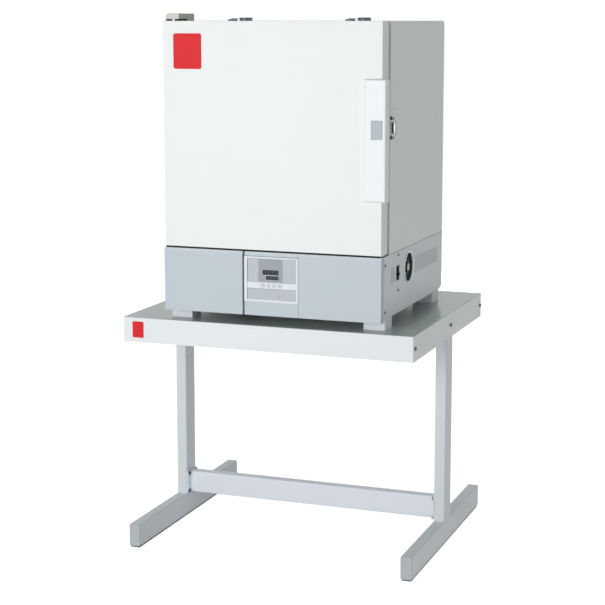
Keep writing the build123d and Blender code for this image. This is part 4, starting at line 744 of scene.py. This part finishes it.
# grey strips along the joint of casing and base: painted shade in the seam
for side, way in (("casing_side_left", -1), ("casing_side_right", 1)):
    low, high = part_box(side)
    wall = low[0] if way < 0 else high[0]
    outer = wall + way * joint["seamShadeProud"]
    ends = joint["seamShadeEnds"]
    bead = slab("bead", (min(wall, outer), low[1] + ends, deck),
                (max(wall, outer), high[1] - ends, deck + joint["seamShadeHeight"]))
    seamShades.append(soften(bead, joint["seamShadeRounding"], 3))
finishPiece(together("seamShadeStrip", seamShades), seamShadeGrey, "oven_and_stand")
print("foam strip and sealant made")

# Door seal: a flat foot with a hollow bulb, mitred round the corners
seal = {
    "width": 0.014,
    "footThickness": 0.0018,
    "footEdge": 0.0006,
    "bulbWidth": 0.0096,
    "outerCorner": 0.014,
}

low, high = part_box("door_gasket")
middle = [(a + b) / 2 for a, b in zip(low, high)]
foot = slab("foot", (low[0], low[1], low[2]), (high[0], low[1] + seal["footThickness"], high[2]))
width = seal["width"]
carve(foot, slab("cutter", (low[0] + width, low[1] - cutReach, low[2] + width),
                 (high[0] - width, high[1] + cutReach, high[2] - width)))
soften(foot, seal["footEdge"], 2)
bulbDepth = high[1] - low[1] - seal["footThickness"] / 2
bulb = hoop("bulb", high[0] - low[0] - width, high[2] - low[2] - width, seal["outerCorner"] / 2,
            seal["bulbWidth"] / 2, (middle[0], high[1] - bulbDepth / 2, middle[2]),
            facingFront, bulbDepth / seal["bulbWidth"])
doorSeal = finishPiece(together("doorSeal", [foot, bulb]), sealSilicone, "door", 50)
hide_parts("door_gasket")
print("door seal made")

# Wool: the slabs as torn fibre batts, pulled in from the space that they fill
batts = {
    "chamberWool": {"standsFor": "chamber_insulation", "body": "oven_and_stand", "voxel": 0.008},
    "doorWool": {"standsFor": "door_insulation", "body": "door", "voxel": 0.006},
}
clumps = [("batTufts", 0.035, 0.0032), ("batFibres", 0.007, 0.0014)]     # name, size of a clump, depth

for name, batt in batts.items():
    piece = bpy.data.objects.new(name, nodes[batt["standsFor"]].data.copy())
    bpy.context.scene.collection.objects.link(piece)
    oneAlone(piece)
    bpy.ops.object.mode_set(mode="EDIT")
    bpy.ops.mesh.select_all(action="SELECT")
    bpy.ops.mesh.remove_doubles(threshold=0.00001)
    bpy.ops.object.mode_set(mode="OBJECT")
    useModifier(piece, "REMESH", mode="VOXEL", voxel_size=batt["voxel"], use_smooth_shade=True)
    for texture, size, depth in clumps:
        cloud = bpy.data.textures.get(texture) or bpy.data.textures.new(texture, "CLOUDS")
        cloud.noise_scale = size
        useModifier(piece, "DISPLACE", texture=cloud, texture_coords="LOCAL", strength=depth, mid_level=1.0)
    finishPiece(piece, wool, batt["body"], 180)
    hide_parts(batt["standsFor"])
print("wool batts made")

# Weld beads where the posts meet the feet and the rails
weld = {
    "radius": 0.0024,
    "steps": 20,
    "ripple": 1.16,
    "overhang": 0.003,
}


def weldBead(length):
    # a ribbed bar along X, drawn out step by step
    bpy.ops.object.select_all(action="DESELECT")
    bpy.ops.mesh.primitive_circle_add(
        vertices=12, radius=weld["radius"], fill_type="NGON", rotation=facingRight)
    piece = bpy.context.object
    settle(piece)
    bpy.ops.object.mode_set(mode="EDIT")
    bpy.ops.mesh.select_all(action="SELECT")
    for step in range(weld["steps"]):
        grow = weld["ripple"] if step % 2 == 0 else 1 / weld["ripple"]
        bpy.ops.mesh.extrude_region_move(TRANSFORM_OT_translate={"value": (length / weld["steps"], 0, 0)})
        bpy.ops.transform.resize(value=(1, grow, grow))
    bpy.ops.mesh.select_all(action="SELECT")
    bpy.ops.mesh.normals_make_consistent(inside=False)
    bpy.ops.object.mode_set(mode="OBJECT")
    return piece


spots = []
for post in ("stand_post_left", "stand_post_right"):
    low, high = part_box(post)
    spots += [(low[0] + weld["overhang"], y, z) for y in (low[1], high[1]) for z in (low[2], high[2])]
beads = [weldBead(high[0] - low[0] - 2 * weld["overhang"])]
for spot in spots[1:]:
    bead = beads[0].copy()
    bead.data = beads[0].data.copy()
    bpy.context.scene.collection.objects.link(bead)
    beads.append(bead)
for bead, spot in zip(beads, spots):
    bead.location = spot
    settle(bead)
welds = together("postWelds", beads)
useModifier(welds, "SUBSURF", levels=1, render_levels=1)
finishPiece(welds, legGrey, "oven_and_stand", 80)
print("weld beads made")

# Latch: a dark sleeve on the lever, partly the dark hook and partly painted shade of the keeper's slot, a
# bright tip, studs on the keeper and a blind plug above it
latch = {
    "plateFace": 0.3076,      # outer face of the keeper's plate
    "armZ": (1.1073, 1.1343),
    "sleeveY": (-0.2790, -0.2655),
    "lipY": (-0.2655, -0.2625),
    "sleeveProud": 0.0006,
    "lipFlare": 0.0027,
    "studY": -0.2705,
    "studZ": (1.1437, 1.0969),
    "studRadius": 0.0054,
    "studProud": 0.0022,
    "socketShare": 0.42,      # of the stud's radius
    "socketDepth": 0.0012,
    "plugY": -0.2539,
    "plugZ": 1.1659,
    "plugRadius": 0.0021,
    "plugProud": 0.0008,
    "sleeveShadeRounding": 0.0002,
    "tipRounding": 0.0003,
    "studRounding": 0.0008,
    "plugRounding": 0.0003,
    "tipMargin": 0.001,       # tells the tip's outer front corners from the others
}

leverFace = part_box("latch_lever")[1][0]
armLow, armHigh = latch["armZ"]
# a black sleeve on the lever: the dark hook, with painted shade of the keeper's slot
sleeveShade = slab("leverSleeveShade", (leverFace, latch["sleeveY"][0], armLow),
            (leverFace + latch["sleeveProud"], latch["sleeveY"][1], armHigh))
soften(sleeveShade, latch["sleeveShadeRounding"], 2)
finishPiece(sleeveShade, blackFoamAndShade, "latch_lever")

tip = slab("leverTip", (leverFace, latch["lipY"][0], armLow),
           (leverFace + latch["lipFlare"], latch["lipY"][1], armHigh))
oneAlone(tip)
for part in (*tip.data.polygons, *tip.data.edges):
    part.select = False
for corner in tip.data.vertices:
    forward = corner.co.y < latch["lipY"][0] + latch["tipMargin"]
    corner.select = forward and corner.co.x > leverFace + latch["tipMargin"]
bpy.ops.object.mode_set(mode="EDIT")
bpy.ops.transform.translate(value=(latch["sleeveProud"] - latch["lipFlare"], 0, 0))
bpy.ops.object.mode_set(mode="OBJECT")
soften(tip, latch["tipRounding"], 2)
finishPiece(tip, brightSteel, "latch_lever")

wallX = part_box("casing_side_right")[1][0]
studs = []
for z in latch["studZ"]:
    stud = rod("stud", latch["studRadius"], latch["studProud"],
               (latch["plateFace"] + latch["studProud"] / 2, latch["studY"], z), facingRight, 28)
    soften(stud, latch["studRounding"], 3)
    carve(stud, rod("cutter", latch["studRadius"] * latch["socketShare"], latch["socketDepth"],
                    (latch["plateFace"] + latch["studProud"], latch["studY"], z), facingRight, 6))
    studs.append(stud)
finishPiece(together("latchStuds", studs), blackFoamAndShade, "oven_and_stand")
plug = rod("blindPlug", latch["plugRadius"], latch["plugProud"],
           (wallX + latch["plugProud"] / 2, latch["plugY"], latch["plugZ"]), facingRight, 24)
soften(plug, latch["plugRounding"], 3)
finishPiece(plug, capGrey, "oven_and_stand")
print("latch trim made")

# Silver cap and pointer on the intake knob
cap = {
    "radius": 0.0098,
    "thickness": 0.0007,
    "dome": 0.0005,
    "pointer": (0.0007, 0.0075),     # width and length
    "pointerStart": 0.002,           # above the dial's centre
    "pointerProud": 0.0002,
    "pointerRounding": 0.00006,
}

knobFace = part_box("intake_dial")[1][0]
dishLow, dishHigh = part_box("intake_dish")
dialY, dialZ = [(dishLow[axis] + dishHigh[axis]) / 2 for axis in (1, 2)]
disc = rod("knobCap", cap["radius"], cap["thickness"],
           (knobFace + cap["thickness"] / 2, dialY, dialZ), facingRight, 64)
soften(disc, cap["dome"], 4)
finishPiece(disc, capSilver, "intake_dial")
capFace = knobFace + cap["thickness"]
wide, long = cap["pointer"]
start = dialZ + cap["pointerStart"]
pointer = slab("knobPointer", (capFace, dialY - wide / 2, start),
               (capFace + cap["pointerProud"], dialY + wide / 2, start + long))
soften(pointer, cap["pointerRounding"], 1)
finishPiece(pointer, printAndShadeGrey, "intake_dial")

# Raised ring round the intake dish
dishRing = {"thick": 0.0013, "flat": 0.8}
reach = (dishHigh[2] - dishLow[2]) / 2
bpy.ops.object.select_all(action="DESELECT")
bpy.ops.mesh.primitive_torus_add(
    major_segments=96, minor_segments=16, major_radius=reach - dishRing["thick"],
    minor_radius=dishRing["thick"], location=(dishHigh[0], dialY, dialZ), rotation=facingRight)
ring = bpy.context.object
ring.name = "dishRing"
ring.scale = (1, 1, dishRing["flat"])
settle(ring)
finishPiece(ring, ringSilver, "oven_and_stand", 80)
print("knob cap and dish ring made")

# Stage, light and camera
studio = {
    "floorSize": 60,
    "floorColour": (0.8, 0.8, 0.8, 1),
    "floorGlow": 0.8,
    "ambient": 0.28,
    "ambientColour": (0.955, 1, 1, 1),
    "white": (1, 1, 1, 1),
}

bpy.ops.object.select_all(action="DESELECT")
bpy.ops.mesh.primitive_plane_add(size=studio["floorSize"], location=(0, 0, 0))
floor = bpy.context.object
floor.name = "studioFloor"

ground = Finish("studioFloor")
seen = ground.node("ShaderNodeLightPath", output="Is Camera Ray")
mirrored = ground.node("ShaderNodeLightPath", output="Is Glossy Ray")
matt = ground.node("ShaderNodeBsdfDiffuse", None, {"Color": studio["floorColour"]})
glow = ground.node("ShaderNodeEmission", None, {
    "Color": studio["white"], "Strength": (seen + mirrored) * studio["floorGlow"]})
both = ground.node("ShaderNodeAddShader", None, {0: matt, 1: glow})
ground.plug(ground.tree.nodes["Material Output"].inputs["Surface"], both)
floor.data.materials.append(ground.owner)

scene = bpy.context.scene
scene.view_settings.view_transform = "Standard"
world = bpy.data.worlds.new("studio")
scene.world = world
sky = Finish("studio", world)
plain = sky.tree.nodes["Background"]
eye = sky.node("ShaderNodeLightPath", output="Is Camera Ray")
gloss = sky.node("ShaderNodeLightPath", output="Is Glossy Ray")
through = sky.node("ShaderNodeLightPath", output="Is Transmission Ray")
direct = eye + gloss + through      # rays that show the background itself
level = direct * (1 - studio["ambient"]) + studio["ambient"]
sky.plug(plain.inputs["Color"], sky.mix(direct, studio["ambientColour"], studio["white"]))
sky.plug(plain.inputs["Strength"], level)

lamps = {
    "frontSoftbox": {"place": (-1.0, -4.4, 1.2), "aim": (0, 0, 0.9), "size": (3.0, 2.4), "power": 106},
    "rightFill": {"place": (4.1, -1.3, 1.0), "aim": (0, 0, 0.8), "size": (2.0, 1.6), "power": 14},
    "rearFill": {"place": (-1.2, 4.4, 1.0), "aim": (0, 0, 0.8), "size": (3.0, 2.0), "power": 26},
}

for name, lamp in lamps.items():
    light = bpy.data.lights.new(name, "AREA")
    light.shape = "RECTANGLE"
    light.size, light.size_y = lamp["size"]
    light.energy = lamp["power"]
    holder = bpy.data.objects.new(name, light)
    holder.visible_glossy = name != "rearFill"     # keeps its glare off the table top
    scene.collection.objects.link(holder)
    holder.location = lamp["place"]
    aim = Vector(lamp["aim"]) - Vector(lamp["place"])
    holder.rotation_euler = aim.to_track_quat("-Z", "Y").to_euler()

eyePoint = {
    "place": (1.4532, -3.9755, 1.3750),
    "yaw": 20.33,
    "pitch": 8.29,
    "lens": 94.81,
    "shift": (-0.0007, -0.08),
    "sensor": 36,
    "farthest": 60,
}
camera = bpy.data.cameras.new("camera")
camera.lens = eyePoint["lens"]
camera.sensor_width = eyePoint["sensor"]
camera.shift_x, camera.shift_y = eyePoint["shift"]
camera.clip_end = eyePoint["farthest"]
viewer = bpy.data.objects.new("camera", camera)
scene.collection.objects.link(viewer)
viewer.location = eyePoint["place"]
viewer.rotation_euler = (math.radians(90 - eyePoint["pitch"]), 0, math.radians(eyePoint["yaw"]))
scene.camera = viewer
print("stage, light and camera set")
